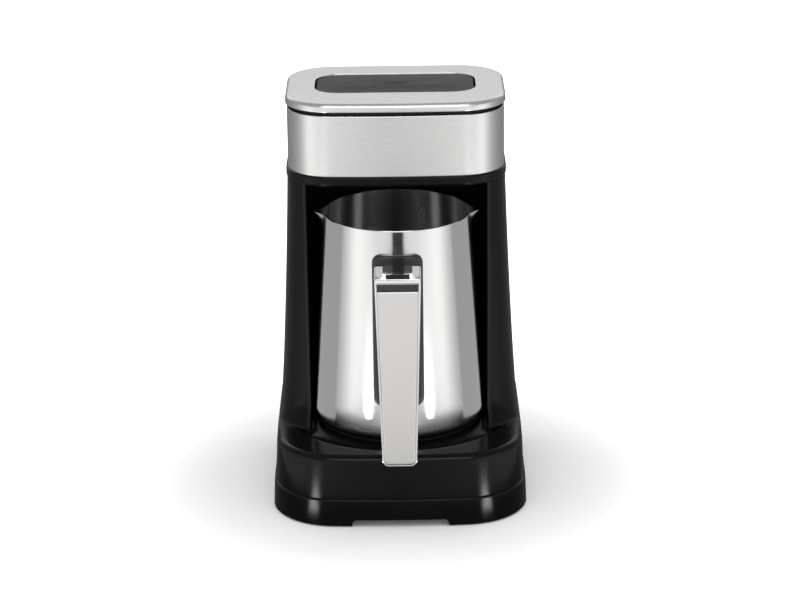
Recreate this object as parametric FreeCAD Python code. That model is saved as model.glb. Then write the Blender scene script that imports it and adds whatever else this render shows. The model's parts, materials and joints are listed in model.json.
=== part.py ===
# Electric Turkish coffee maker: a C-shaped machine with a heated base and a lift-out steel pot.
# Millimetres. +Z is up, the front with the pot's handle is -Y, and the machine is symmetric in X.
# The origin is on the surface that it stands on, in the middle of its width and depth.

import FreeCAD
import Part
import collections
import math
import os

V = FreeCAD.Vector
Outline = collections.namedtuple("Outline", "half_width front back front_radius back_radius")

# Where the pot and the faces of the machine lie in depth
POT_Y = 8.4
HEAD_FRONT_Y = -14.3
BACK_Y = 73.2
FRONT_BOW_RADIUS = 520.0

# Base: a moulded skirt that is proud below a step, and a deck with a dish around the hotplate
BASE_HALF_WIDTH = 70.5
BASE_FRONT_Y = -71.9
BASE_FRONT_CORNER = 36.0
BASE_HEIGHT = 39.2
BASE_SIDE_LEAN = 1.4
BASE_FRONT_LEAN = 5.4
STEP_Z = 15.5
STEP_PROUD = 0.9
STEP_EDGE_RADIUS = 0.8
LIP_RADIUS = 3.0
SKIRT_CLEAR = 0.5
SHELL_WALL = 2.4
DISH_DEPTH = 2.8
DISH_FLAT_RADIUS = 53.0
DISH_RADIUS = 66.0
DECK_THICKNESS = 2.4
NOTCH_HALF_WIDTH = 26.5
NOTCH_HEIGHT = 3.5
NOTCH_CORNER = 2.8
COVER_Z = 5.5
COVER_THICKNESS = 2.2
COVER_CLEARANCE = 0.3
VENT_COUNT = 7
VENT_LENGTH = 28.0
VENT_WIDTH = 2.4
VENT_PITCH = 7.0
FOOT_RADIUS = 8.0
FOOT_X = 46.0
FOOT_FRONT_Y = -40.0
FOOT_REAR_Y = 50.0
FOOT_EDGE = 1.0

# Tower: two columns and a back that carry the head, with a round bay for the pot
TOWER_HEIGHT = 137.8
TOWER_TOP_HALF_WIDTH = 60.5
TOWER_FOOT_INSET = 1.1
TOWER_CURVE_SHARE = 0.36
TOWER_FRONT_FLARE = 11.0
FRONT_FLARE_POWER = 12
SEAT_SETBACK = 7.5
BODY_CORNER = 25.0
BAY_RADIUS = 50.0
LINER_WALL = 2.0
REAR_OPENING_HALF_WIDTH = 36.0
REAR_OPENING_MARGIN = 12.0
REAR_COVER_CLEARANCE = 0.3
REAR_LEDGE = 8.0
REAR_LEDGE_OUTSIDE = 5.0

# Head: a moulded ring, a steel band, a shadow gap and a steel cap around the button panel
HEAD_HALF_WIDTH = 59.9
RING_PROUD = 1.1
RING_HEIGHT = 5.5
RING_WIDTH = 8.0
RING_EDGE_RADIUS = 1.0
UNDERSIDE_THICKNESS = 3.5
UNDERSIDE_CLEARANCE = 0.3
BAND_HEIGHT = 34.2
BAND_WALL = 0.8
CHASSIS_WALL = 2.2
SHADOW_GAP = 2.2
SHADOW_INSET = 1.8
GASKET_WIDTH = 4.1
CAP_OVERHANG = 0.8
CAP_HEIGHT = 4.8
CAP_WALL = 1.2
CAP_EDGE_RADIUS = 2.6

# Button panel on top of the head
PANEL_HALF_WIDTH = 43.7
PANEL_DEPTH = 41.4
PANEL_Y = 32.9
PANEL_CORNER = 13.0
PANEL_RECESS = 0.5
PANEL_THICKNESS = 2.5
PANEL_GAP = 0.9
PANEL_TRAVEL = 1.3
WELL_WALL = 2.0
WELL_FLOOR = 1.8
WELL_DEPTH = 3.0
GUIDE_X = 31.0
GUIDE_RADIUS = 2.45
GUIDE_FIT = 0.05
CLIP_RADIUS = 3.6
CLIP_THICKNESS = 1.2
STEM_RADIUS = 2.0
STEM_CLEARANCE = 0.6
STEM_OVER_SWITCH = 0.55
GUIDE_END = 0.8
PANEL_EDGE = 0.4
SLEEVE_WALL = 1.3
MARK_HALF_LENGTH = 7.0
MARK_HALF_WIDTH = 1.8
MARK_DEPTH = 0.2

# Electronics in the head
BOARD_THICKNESS = 1.6
CONTROL_BOARD_HALF_WIDTH = 49.5
CONTROL_BOARD_DEPTH = 46.0
CONTROL_BOARD_DROP = 11.0
SWITCH_BODY = 6.0
SWITCH_BODY_HEIGHT = 3.4
SWITCH_CAP_RADIUS = 1.7
SWITCH_CAP_HEIGHT = 0.5
BUZZER_X = 24.0
BUZZER_SETBACK = 8.0
BUZZER_HOLE_RADIUS = 1.0
BUZZER_RADIUS = 6.0
BUZZER_HEIGHT = 6.5
LED_X = -20.0
LED_RADIUS = 1.5
LED_HEIGHT = 4.8
LIGHT_GUIDE_RADIUS = 1.8
LIGHT_GUIDE_GAP = 0.3
POST_RADIUS = 3.0
CONTROL_POST_X = 38.0
CONTROL_POST_REACH = 17.0
FOAM_SENSOR_SIZE = 18.0
FOAM_SENSOR_HEIGHT = 8.0
WINDOW_RADIUS = 7.0
WINDOW_EYE_RADIUS = 5.0
EYE_CLEARANCE = 0.5

# Hotplate and what is under it
HOTPLATE_RADIUS = 41.2
HOTPLATE_THICKNESS = 4.0
HOTPLATE_STAND = 1.1
HOTPLATE_EDGE = 0.4
SEAL_WALL = 2.0
SEAL_FLANGE = 2.0
SEAL_FLANGE_HEIGHT = 0.6
ELEMENT_RING_RADIUS = 29.0
ELEMENT_TUBE_RADIUS = 3.3
ELEMENT_FLAT = 0.5
ELEMENT_GAP_ANGLE = 34.0
PIN_RADIUS = 1.6
PIN_END_Z = 13.2
SHIELD_RADIUS = 42.4
SHIELD_WALL = 1.0
SHIELD_FLOOR_Z = 20.0
EAR_RADIUS = 5.0
EAR_REACH = 7.6
EAR_Z = 24.0
EAR_ANGLES = (90.0, 210.0, 330.0)
THERMOSTAT_RADIUS = 7.5
THERMOSTAT_HEIGHT = 7.0
THERMOSTAT_REACH = 15.5
BLADE_HALF_WIDTH = 3.2
BLADE_HALF_THICKNESS = 0.4
BLADE_HEIGHT = 3.6
BLADE_OFFSET = 4.0
FUSE_RADIUS = 2.0
FUSE_LENGTH = 13.0
FUSE_REACH = 15.0
FUSE_CLIP_WALL = 1.0
FUSE_CLIP_HALF_LENGTH = 2.0
FUSE_CLIP_UNDER = 0.6

# Spring-loaded temperature sensor in the middle of the hotplate
SENSOR_HOLE_RADIUS = 6.2
SENSOR_TUBE_RADIUS = 5.8
SENSOR_BORE_RADIUS = 4.4
SENSOR_NECK_BORE_RADIUS = 3.7
SENSOR_FIT = 0.04
SENSOR_LIP = 1.5
SENSOR_FLANGE = 4.0
SENSOR_TRAVEL = 1.2
SENSOR_STOP_CLEARANCE = 0.05
SENSOR_EDGE = 0.5
SPRING_RINGS = 6
SPRING_RING_HEIGHT = 0.6
SPRING_WIDTH = 1.2
SPRING_CLEARANCE = 0.4
SPRING_BRIDGE = 1.4

# Electronics and wiring in the base
POWER_BOARD_HALF_WIDTH = 38.0
POWER_BOARD_DEPTH = 24.0
POWER_BOARD_Y = -52.0
POWER_BOARD_LIFT = 5.3
POWER_POST_X = 30.0
POWER_POST_REACH = 9.0
PLUG_HALF_WIDTH = 4.5
PLUG_DEPTH = 6.0
PLUG_HEIGHT = 7.4
SPADE_HALF_WIDTH = 2.2
SPADE_DEPTH = 4.0
SPADE_HEIGHT = 4.4
RELAY_X = -15.0
RELAY_LENGTH = 18.0
RELAY_DEPTH = 14.0
RELAY_HEIGHT = 14.0
CAPACITOR_X = 16.0
CAPACITOR_LENGTH = 16.0
CAPACITOR_DEPTH = 8.0
CAPACITOR_HEIGHT = 11.0
HARNESS_PLUG_X = 33.0
HARNESS_RADIUS = 2.2
MAINS_LEAD_RADIUS = 2.5
HEATER_LEAD_RADIUS = 1.3
LEAD_Z = 18.0
LEAD_FIRST_RUN = 9.0
LEAD_SIDE_GAP = 9.4
LEAD_CORNER_STEP = 5.0
LEAD_FRONT_Y = -20.0
LEAD_MIDDLE_Y = 8.0
LEAD_REAR_Y = 33.0
LEAD_RISE = 3.0
HARNESS_RISE_X = 46.0
HARNESS_RISE_Y = 49.0
HARNESS_PLUG_HALF = 3.5
CABLE_HOLE_RADIUS = 4.0
TERMINAL_X = 21.0
TERMINAL_Y = 58.0
TERMINAL_HALF_WIDTH = 12.0
TERMINAL_HALF_DEPTH = 6.0
TERMINAL_HEIGHT = 11.0
TERMINAL_WELL_RADIUS = 2.0
TERMINAL_WELL_DEPTH = 4.0
TERMINAL_PITCH = 7.5
TERMINAL_LEAD_OFFSET = 6.0
GLAND_HEADROOM = 1.0
GLAND_BORE_RADIUS = 3.3
GLAND_NECK_RADIUS = 5.5
GLAND_FLANGE_RADIUS = 7.0
GLAND_OUTSIDE = 3.2
GLAND_INSIDE = 2.0

# Screws
SCREW_RADIUS = 1.4
SCREW_HEAD_RADIUS = 2.8
SCREW_HEAD_HEIGHT = 1.8
SCREW_HEAD_EDGE = 0.5
SCREW_HEAD_CLEARANCE = 0.2
DRIVE_HALF_LENGTH = 1.9
DRIVE_HALF_WIDTH = 0.35
DRIVE_DEPTH = 0.9
SCREW_HOLE_CLEARANCE = 0.05
SCREW_GRIP = 9.0
SHORT_SCREW_GRIP = 6.0
BOARD_SCREW_GRIP = 4.5
BOARD_HOLE_GRIP = 5.4
BOSS_RADIUS = 3.8
BOSS_HEIGHT = 18.0
RIB_THICKNESS = 2.0
FRAME_SCREWS = ((50.0, 59.0), (53.0, 36.0))
BOTTOM_SCREWS = ((46.0, -52.0), (38.5, 63.0))

# Pot: a drawn steel cone with a pouring beak on each side and a thick disc base
POT_HEIGHT = 119.5
POT_BOTTOM_RADIUS = 47.4
POT_RIM_RADIUS = 41.1
POT_WALL = 0.9
POT_EDGE_RADIUS = 4.6
POT_SEAT_GAP = 0.3
DISC_RADIUS = 40.8
DISC_THICKNESS = 2.8
DISC_STAND = 0.5
DISC_EDGE = 0.4
BEAK_REACH = 5.8
BEAK_DEPTH = 9.0
BEAK_SPREAD = 7.5
BEAK_LEVELS = (0.0, 0.3, 0.52, 0.72, 0.88, 1.0)
BEAK_SAMPLES = 120

# Handle: a plate on the pot, a bridge, and a grip that slants outwards to a free lower end
PLATE_HALF_WIDTH = 13.9
PLATE_TOP_DROP = 13.1
PLATE_HEIGHT = 85.7
PLATE_PROUD = 3.0
PLATE_CORNER = 4.5
GRIP_TOP_DROP = 18.3
GRIP_LENGTH = 102.6
GRIP_TOP_Y = -61.6
GRIP_SLANT = 8.3
GRIP_TOP_WIDTH = 25.2
GRIP_END_WIDTH = 18.7
GRIP_END_CORNER = 3.5
GRIP_THICKNESS = 9.0
TRIM_DEPTH = 5.5
FACE_THICKNESS = 1.5
FACE_MARGIN = 1.1
TOP_BAR_HEIGHT = 2.5
SLOT_HEIGHT = 4.0
SLOT_CORNER = 0.3
BRIDGE_HEIGHT = 9.0
BRIDGE_COVER = 1.6
BRIDGE_HALF_WIDTH = 11.4
STUD_RADIUS = 2.0
STUD_LENGTH = 11.0
LOW_STUD_LENGTH = 2.4
LOW_STUD_LIFT = 12.0

# Heights worked out from the sizes above
TOWER_TOP_Z = BASE_HEIGHT + TOWER_HEIGHT
RING_TOP_Z = TOWER_TOP_Z + RING_HEIGHT
BAND_TOP_Z = RING_TOP_Z + BAND_HEIGHT
GAP_TOP_Z = BAND_TOP_Z + SHADOW_GAP
CAP_TOP_Z = GAP_TOP_Z + CAP_HEIGHT
CAP_FRAME_TOP_Z = CAP_TOP_Z - CAP_WALL
CHASSIS_FLOOR_TOP_Z = RING_TOP_Z + CHASSIS_WALL
COVER_TOP_Z = COVER_Z + COVER_THICKNESS
DISH_Z = BASE_HEIGHT - DISH_DEPTH
DECK_UNDER_Z = DISH_Z - DECK_THICKNESS
HOTPLATE_TOP_Z = DISH_Z + HOTPLATE_STAND
HOTPLATE_UNDER_Z = HOTPLATE_TOP_Z - HOTPLATE_THICKNESS
SHIELD_INSIDE_Z = SHIELD_FLOOR_Z + SHIELD_WALL
POT_Z = HOTPLATE_TOP_Z + POT_SEAT_GAP
POT_EDGE_Z = POT_Z + DISC_STAND
RIM_Z = POT_Z + POT_HEIGHT
PANEL_TOP_Z = CAP_TOP_Z - PANEL_RECESS
PANEL_UNDER_Z = PANEL_TOP_Z - PANEL_THICKNESS
WELL_TOP_Z = PANEL_UNDER_Z - WELL_DEPTH
WELL_UNDER_Z = WELL_TOP_Z - WELL_FLOOR
CONTROL_BOARD_TOP_Z = WELL_TOP_Z - CONTROL_BOARD_DROP
CONTROL_BOARD_UNDER_Z = CONTROL_BOARD_TOP_Z - BOARD_THICKNESS
SWITCH_TOP_Z = CONTROL_BOARD_TOP_Z + SWITCH_BODY_HEIGHT
POWER_BOARD_Z = COVER_TOP_Z + POWER_BOARD_LIFT
POWER_BOARD_TOP_Z = POWER_BOARD_Z + BOARD_THICKNESS
SENSOR_LIP_Z = HOTPLATE_UNDER_Z
SENSOR_FLOOR_Z = SHIELD_INSIDE_Z + SENSOR_LIP
GRIP_TOP_Z = RIM_Z - GRIP_TOP_DROP
GLAND_Z = DECK_UNDER_Z - GLAND_FLANGE_RADIUS - GLAND_HEADROOM
PLATE_TOP_Z = RIM_Z - PLATE_TOP_DROP


# Basic solids

def cylinder(radius, z0, z1, x=0.0, y=0.0):
    return Part.makeCylinder(radius, z1 - z0, V(x, y, z0))


def tube(outer, inner, z0, z1, x=0.0, y=0.0):
    return cylinder(outer, z0, z1, x, y).cut(cylinder(inner, z0, z1, x, y))


def rod_along_y(radius, y0, y1, x, z):
    return Part.makeCylinder(radius, y1 - y0, V(x, y0, z), V(0, 1, 0))


def block(x0, x1, y0, y1, z0, z1):
    return Part.makeBox(x1 - x0, y1 - y0, z1 - z0, V(x0, y0, z0))


def fused(pieces):
    return pieces[0].multiFuse(pieces[1:]).removeSplitter()


def both_sides(shape):
    return [shape, shape.mirror(V(0, 0, 0), V(1, 0, 0))]


def revolved(profile, x=0.0, y=0.0):
    points = [V(x + radius, y, z) for radius, z in profile]
    face = Part.Face(Part.makePolygon(points + points[:1]))
    return face.revolve(V(x, y, 0), V(0, 0, 1), 360)


def edges_at(shape, z):
    return [edge for edge in shape.Edges if abs(edge.BoundBox.ZMin - z) < 1e-4 and edge.BoundBox.ZLength < 1e-4]


# Plan outlines: straight sides and back, a bowed front, and round corners that run into them

def plan_wire(outline, z, inset=0.0):
    half = outline.half_width - inset
    front = outline.front + inset
    back = outline.back - inset
    front_radius = outline.front_radius - inset
    back_radius = outline.back_radius - inset
    bow = FRONT_BOW_RADIUS - inset
    corner_x = half - front_radius
    corner_y = front + bow - math.sqrt((bow - front_radius) ** 2 - corner_x ** 2)
    lean = math.atan2(corner_x, front + bow - corner_y)
    touch = V(corner_x + front_radius * math.sin(lean), corner_y - front_radius * math.cos(lean), z)
    middle_angle = (lean + math.pi / 2) / 2
    corner_middle = V(corner_x + front_radius * math.sin(middle_angle),
                      corner_y - front_radius * math.cos(middle_angle), z)
    side_front = V(half, corner_y, z)
    side_back = V(half, back - back_radius, z)
    diagonal = back_radius * math.sqrt(0.5)
    back_middle = V(half - back_radius + diagonal, back - back_radius + diagonal, z)
    back_end = V(half - back_radius, back, z)

    def flipped(point):
        return V(-point.x, point.y, point.z)

    edges = [Part.Arc(flipped(touch), V(0, front, z), touch).toShape(),
             Part.Arc(touch, corner_middle, side_front).toShape(),
             Part.LineSegment(side_front, side_back).toShape(),
             Part.Arc(side_back, back_middle, back_end).toShape(),
             Part.LineSegment(back_end, flipped(back_end)).toShape(),
             Part.Arc(flipped(back_end), flipped(back_middle), flipped(side_back)).toShape(),
             Part.LineSegment(flipped(side_back), flipped(side_front)).toShape(),
             Part.Arc(flipped(side_front), flipped(corner_middle), flipped(touch)).toShape()]
    return Part.Wire(edges)


def plan_solid(outline, z0, z1, inset=0.0):
    return Part.Face(plan_wire(outline, z0, inset)).extrude(V(0, 0, z1 - z0))


def plan_loft(levels, inset=0.0):
    return Part.makeLoft([plan_wire(outline, z, inset) for outline, z in levels], True, True)


def grown(outline, by):
    return Outline(outline.half_width + by, outline.front - by, outline.back + by,
                   outline.front_radius + by, outline.back_radius + by)


HEAD = Outline(HEAD_HALF_WIDTH, HEAD_FRONT_Y, BACK_Y, BODY_CORNER, BODY_CORNER)
RING = grown(HEAD, RING_PROUD)
CAP = grown(HEAD, CAP_OVERHANG)


def base_outline(z, proud):
    share = z / BASE_HEIGHT
    narrow = BASE_SIDE_LEAN * share + STEP_PROUD - proud
    front = BASE_FRONT_Y + BASE_FRONT_LEAN * share + STEP_PROUD - proud
    return Outline(BASE_HALF_WIDTH - narrow, front, BACK_Y + proud, BASE_FRONT_CORNER, BODY_CORNER)


def tower_outline(z):
    left = 1.0 - (z - BASE_HEIGHT) / TOWER_HEIGHT
    foot_half_width = base_outline(BASE_HEIGHT, 0.0).half_width - TOWER_FOOT_INSET
    widening = (1.0 - TOWER_CURVE_SHARE) * left + TOWER_CURVE_SHARE * left ** 2
    half = TOWER_TOP_HALF_WIDTH + (foot_half_width - TOWER_TOP_HALF_WIDTH) * widening
    front = HEAD_FRONT_Y - TOWER_FRONT_FLARE * left ** FRONT_FLARE_POWER
    return Outline(half, front, BACK_Y, BODY_CORNER, BODY_CORNER)


def tower_levels(z0):
    shares = (0.0, 0.03, 0.06, 0.1, 0.16, 0.27, 0.5, 1.0)
    heights = [BASE_HEIGHT + share * TOWER_HEIGHT for share in shares]
    return [(tower_outline(z), z) for z in heights if z >= z0]


def bay_prism(radius, z0, z1):
    reach = POT_Y - BASE_FRONT_Y
    round_back = cylinder(radius, z0, z1, 0.0, POT_Y)
    return round_back.fuse(block(-radius, radius, POT_Y - reach, POT_Y, z0, z1))


# Screws and the bosses that they bite into

def screw(x, y, z, up, length):
    head = cylinder(SCREW_HEAD_RADIUS, -SCREW_HEAD_HEIGHT, 0.0)
    head = head.makeFillet(SCREW_HEAD_EDGE, edges_at(head, -SCREW_HEAD_HEIGHT))
    drive_end = DRIVE_DEPTH - SCREW_HEAD_HEIGHT
    for half_x, half_y in ((DRIVE_HALF_LENGTH, DRIVE_HALF_WIDTH), (DRIVE_HALF_WIDTH, DRIVE_HALF_LENGTH)):
        head = head.cut(block(-half_x, half_x, -half_y, half_y, -SCREW_HEAD_HEIGHT, drive_end))
    body = head.fuse(cylinder(SCREW_RADIUS, 0.0, length)).removeSplitter()
    if not up:
        body.rotate(V(0, 0, 0), V(1, 0, 0), 180)
    body.translate(V(x, y, z))
    return body


def screw_along_y(x, y, z, length):
    body = screw(0.0, 0.0, 0.0, True, length)
    body.rotate(V(0, 0, 0), V(1, 0, 0), 90)
    body.translate(V(x, y, z))
    return body


def screw_hole(x, y, z0, z1):
    return cylinder(SCREW_RADIUS + SCREW_HOLE_CLEARANCE, z0, z1, x, y)


def frame_points():
    return [(side * x, y) for x, y in FRAME_SCREWS for side in (-1, 1)]


def bottom_points():
    return [(side * x, y) for x, y in BOTTOM_SCREWS for side in (-1, 1)]


def ear_points():
    reach = SHIELD_RADIUS + EAR_REACH
    return [(reach * math.cos(math.radians(angle)), POT_Y + reach * math.sin(math.radians(angle)))
            for angle in EAR_ANGLES]


# Base

def base_solid():
    skirt = plan_loft([(base_outline(SKIRT_CLEAR, STEP_PROUD), SKIRT_CLEAR),
                       (base_outline(STEP_Z, STEP_PROUD), STEP_Z)])
    skirt = skirt.makeFillet(STEP_EDGE_RADIUS, edges_at(skirt, STEP_Z))
    upper = plan_loft([(base_outline(SKIRT_CLEAR, 0.0), SKIRT_CLEAR),
                       (base_outline(BASE_HEIGHT, 0.0), BASE_HEIGHT)])
    return skirt, upper


def tower_foot(inner_radius):
    return plan_solid(tower_outline(BASE_HEIGHT), DISH_Z, BASE_HEIGHT).cut(
        bay_prism(inner_radius, DISH_Z, BASE_HEIGHT))


def dish_cutter():
    run = DISH_RADIUS - DISH_FLAT_RADIUS
    bend = (run ** 2 + DISH_DEPTH ** 2) / (2 * DISH_DEPTH)
    half_turn = math.asin(run / bend) / 2
    start = V(DISH_FLAT_RADIUS, POT_Y, DISH_Z)
    middle = V(DISH_FLAT_RADIUS + bend * math.sin(half_turn), POT_Y,
               DISH_Z + bend * (1 - math.cos(half_turn)))
    end = V(DISH_RADIUS, POT_Y, BASE_HEIGHT)
    axis_low = V(0, POT_Y, DISH_Z)
    axis_high = V(0, POT_Y, BASE_HEIGHT)
    edges = [Part.LineSegment(axis_low, start).toShape(), Part.Arc(start, middle, end).toShape(),
             Part.LineSegment(end, axis_high).toShape(), Part.LineSegment(axis_high, axis_low).toShape()]
    dish = Part.Face(Part.Wire(edges)).revolve(V(0, POT_Y, 0), V(0, 0, 1), 360)
    return dish.cut(tower_foot(BAY_RADIUS))


def notch_cutter():
    front = BASE_FRONT_Y - STEP_PROUD
    notch = block(-NOTCH_HALF_WIDTH, NOTCH_HALF_WIDTH, front - SHELL_WALL, front + 4 * SHELL_WALL,
                  SKIRT_CLEAR - NOTCH_HEIGHT, SKIRT_CLEAR + NOTCH_HEIGHT)
    top = [edge for edge in notch.Edges
           if edge.BoundBox.YLength > 4 * SHELL_WALL and edge.BoundBox.ZMin > SKIRT_CLEAR]
    return notch.makeFillet(NOTCH_CORNER, top)


def base_shell():
    # The lip is rounded in front of the columns only, so that the tower stands on a flat seat
    skirt, upper = base_solid()
    seat_front = tower_outline(BASE_HEIGHT).front + SEAT_SETBACK
    front_part = block(-BASE_HALF_WIDTH, BASE_HALF_WIDTH, BASE_FRONT_Y, seat_front, 0.0, BASE_HEIGHT)
    rounded = upper.makeFillet(LIP_RADIUS, edges_at(upper, BASE_HEIGHT))
    shell = fused([skirt, rounded.common(front_part), upper.cut(front_part)])
    levels = [(base_outline(0.0, 0.0), 0.0), (base_outline(DECK_UNDER_Z, 0.0), DECK_UNDER_Z)]
    shell = shell.cut(plan_loft(levels, SHELL_WALL))
    shell = shell.cut(dish_cutter())
    shell = shell.cut(cylinder(HOTPLATE_RADIUS + SEAL_WALL, 0.0, BASE_HEIGHT, 0.0, POT_Y))
    shell = shell.cut(notch_cutter())
    bosses = [cylinder(BOSS_RADIUS, COVER_TOP_Z, DECK_UNDER_Z, x, y) for x, y in bottom_points()]
    bosses += [cylinder(BOSS_RADIUS, EAR_Z + SHIELD_WALL, DECK_UNDER_Z, x, y) for x, y in ear_points()]
    shell = fused([shell] + bosses)
    holes = [screw_hole(x, y, COVER_TOP_Z, COVER_TOP_Z + SCREW_GRIP) for x, y in bottom_points()]
    holes += [screw_hole(x, y, EAR_Z, EAR_Z + SHIELD_WALL + SHORT_SCREW_GRIP) for x, y in ear_points()]
    holes += [screw_hole(x, y, DECK_UNDER_Z, BASE_HEIGHT) for x, y in frame_points()]
    holes.append(cylinder(CABLE_HOLE_RADIUS, DECK_UNDER_Z, BASE_HEIGHT, -HARNESS_RISE_X, HARNESS_RISE_Y))
    holes.append(rod_along_y(GLAND_NECK_RADIUS, BACK_Y - 2 * SHELL_WALL, BACK_Y + SHELL_WALL, TERMINAL_X, GLAND_Z))
    return shell.cut(Part.makeCompound(holes))


def bottom_cover():
    outline = base_outline(COVER_TOP_Z, 0.0)
    plate = plan_solid(outline, COVER_Z, COVER_TOP_Z, SHELL_WALL + COVER_CLEARANCE)
    posts = [cylinder(POST_RADIUS, COVER_Z, POWER_BOARD_Z, side * POWER_POST_X, POWER_BOARD_Y + reach)
             for side in (-1, 1) for reach in (-POWER_POST_REACH, POWER_POST_REACH)]
    plate = fused([plate] + posts)
    holes = [screw_hole(x, y, COVER_Z, COVER_TOP_Z) for x, y in bottom_points()]
    for index in range(VENT_COUNT):
        y = POT_Y + (index - (VENT_COUNT - 1) / 2) * VENT_PITCH
        holes.append(block(-VENT_LENGTH / 2, VENT_LENGTH / 2, y - VENT_WIDTH / 2, y + VENT_WIDTH / 2,
                           COVER_Z, COVER_TOP_Z))
    return plate.cut(Part.makeCompound(holes))


def rubber_feet():
    feet = []
    for x in (-FOOT_X, FOOT_X):
        for y in (FOOT_FRONT_Y, FOOT_REAR_Y):
            foot = cylinder(FOOT_RADIUS, 0.0, COVER_Z, x, y)
            feet.append(foot.makeFillet(FOOT_EDGE, edges_at(foot, 0.0)))
    return Part.makeCompound(feet)


def bottom_screws():
    return Part.makeCompound([screw(x, y, COVER_Z, True, COVER_THICKNESS + SCREW_GRIP)
                              for x, y in bottom_points()])


# Hotplate group

def hotplate_seal():
    inner = HOTPLATE_RADIUS
    outer = inner + SEAL_WALL
    low = HOTPLATE_UNDER_Z
    high = DISH_Z + SEAL_FLANGE_HEIGHT
    profile = [(inner, low), (outer, low), (outer, DISH_Z), (outer + SEAL_FLANGE, DISH_Z),
               (outer + SEAL_FLANGE, high), (inner, high)]
    return revolved(profile, 0.0, POT_Y)


def hotplate():
    plate = cylinder(HOTPLATE_RADIUS, HOTPLATE_UNDER_Z, HOTPLATE_TOP_Z, 0.0, POT_Y)
    plate = plate.makeFillet(HOTPLATE_EDGE, edges_at(plate, HOTPLATE_TOP_Z))
    return plate.cut(cylinder(SENSOR_HOLE_RADIUS, HOTPLATE_UNDER_Z, HOTPLATE_TOP_Z, 0.0, POT_Y))


def element_pin_points():
    angles = (-90.0 - ELEMENT_GAP_ANGLE / 2, -90.0 + ELEMENT_GAP_ANGLE / 2)
    return [(ELEMENT_RING_RADIUS * math.cos(math.radians(angle)),
             POT_Y + ELEMENT_RING_RADIUS * math.sin(math.radians(angle))) for angle in angles]


def heating_element():
    z = HOTPLATE_UNDER_Z - ELEMENT_TUBE_RADIUS + ELEMENT_FLAT
    ring = Part.makeTorus(ELEMENT_RING_RADIUS, ELEMENT_TUBE_RADIUS, V(0, 0, 0), V(0, 0, 1),
                          0, 360, 360 - ELEMENT_GAP_ANGLE)
    ring.rotate(V(0, 0, 0), V(0, 0, 1), -90.0 + ELEMENT_GAP_ANGLE / 2)
    ring.translate(V(0, POT_Y, z))
    ends = []
    for x, y in element_pin_points():
        ends.append(Part.makeSphere(ELEMENT_TUBE_RADIUS, V(x, y, z)))
        ends.append(cylinder(ELEMENT_TUBE_RADIUS, SHIELD_INSIDE_Z, z, x, y))
    tube_ring = fused([ring] + ends)
    top = block(-POT_BOTTOM_RADIUS, POT_BOTTOM_RADIUS, POT_Y - POT_BOTTOM_RADIUS, POT_Y + POT_BOTTOM_RADIUS,
                HOTPLATE_UNDER_Z, HOTPLATE_TOP_Z)
    return tube_ring.cut(top)


def element_pins():
    return Part.makeCompound([cylinder(PIN_RADIUS, PIN_END_Z, SHIELD_INSIDE_Z, x, y)
                              for x, y in element_pin_points()])


def heat_shield():
    rim = HOTPLATE_UNDER_Z
    outer = SHIELD_RADIUS - SHIELD_WALL - SEAL_WALL
    tray = cylinder(outer, SHIELD_FLOOR_Z, rim, 0.0, POT_Y)
    tray = tray.cut(cylinder(outer - SHIELD_WALL, SHIELD_INSIDE_Z, rim, 0.0, POT_Y))
    ears = []
    for x, y in ear_points():
        away = V(x, y - POT_Y, 0).normalize()
        arm = block(0.0, SHIELD_RADIUS + EAR_REACH, -EAR_RADIUS, EAR_RADIUS, EAR_Z, EAR_Z + SHIELD_WALL)
        arm.rotate(V(0, 0, 0), V(0, 0, 1), math.degrees(math.atan2(away.y, away.x)))
        arm.translate(V(0, POT_Y, 0))
        arm = arm.cut(cylinder(outer - SHIELD_WALL / 2, EAR_Z, EAR_Z + SHIELD_WALL, 0.0, POT_Y))
        ears += [arm, cylinder(EAR_RADIUS, EAR_Z, EAR_Z + SHIELD_WALL, x, y)]
    tray = fused([tray] + ears)
    holes = [screw_hole(x, y, EAR_Z, EAR_Z + SHIELD_WALL) for x, y in ear_points()]
    holes += [cylinder(PIN_RADIUS, SHIELD_FLOOR_Z, SHIELD_INSIDE_Z, x, y) for x, y in element_pin_points()]
    holes.append(cylinder(SCREW_RADIUS, SHIELD_FLOOR_Z, SHIELD_INSIDE_Z, 0.0, POT_Y))
    return tray.cut(Part.makeCompound(holes))


def hotplate_screws():
    length = SHIELD_WALL + SHORT_SCREW_GRIP
    return Part.makeCompound([screw(x, y, EAR_Z, True, length) for x, y in ear_points()])


def thermostat():
    x = THERMOSTAT_REACH
    body = cylinder(THERMOSTAT_RADIUS, HOTPLATE_UNDER_Z - THERMOSTAT_HEIGHT, HOTPLATE_UNDER_Z, x, POT_Y)
    high = HOTPLATE_UNDER_Z - THERMOSTAT_HEIGHT
    blades = [block(x - BLADE_HALF_WIDTH, x + BLADE_HALF_WIDTH, y - BLADE_HALF_THICKNESS, y + BLADE_HALF_THICKNESS,
                    high - BLADE_HEIGHT, high)
              for y in (POT_Y - BLADE_OFFSET, POT_Y + BLADE_OFFSET)]
    return fused([body] + blades)


def thermal_fuse():
    x = -FUSE_REACH
    z = HOTPLATE_UNDER_Z - FUSE_RADIUS
    fuse = rod_along_y(FUSE_RADIUS, POT_Y - FUSE_LENGTH / 2, POT_Y + FUSE_LENGTH / 2, x, z)
    half = FUSE_RADIUS + FUSE_CLIP_WALL
    clip = block(x - half, x + half, POT_Y - FUSE_CLIP_HALF_LENGTH, POT_Y + FUSE_CLIP_HALF_LENGTH,
                 z - FUSE_RADIUS - FUSE_CLIP_UNDER, HOTPLATE_UNDER_Z)
    return fuse.fuse(clip).removeSplitter()


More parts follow.
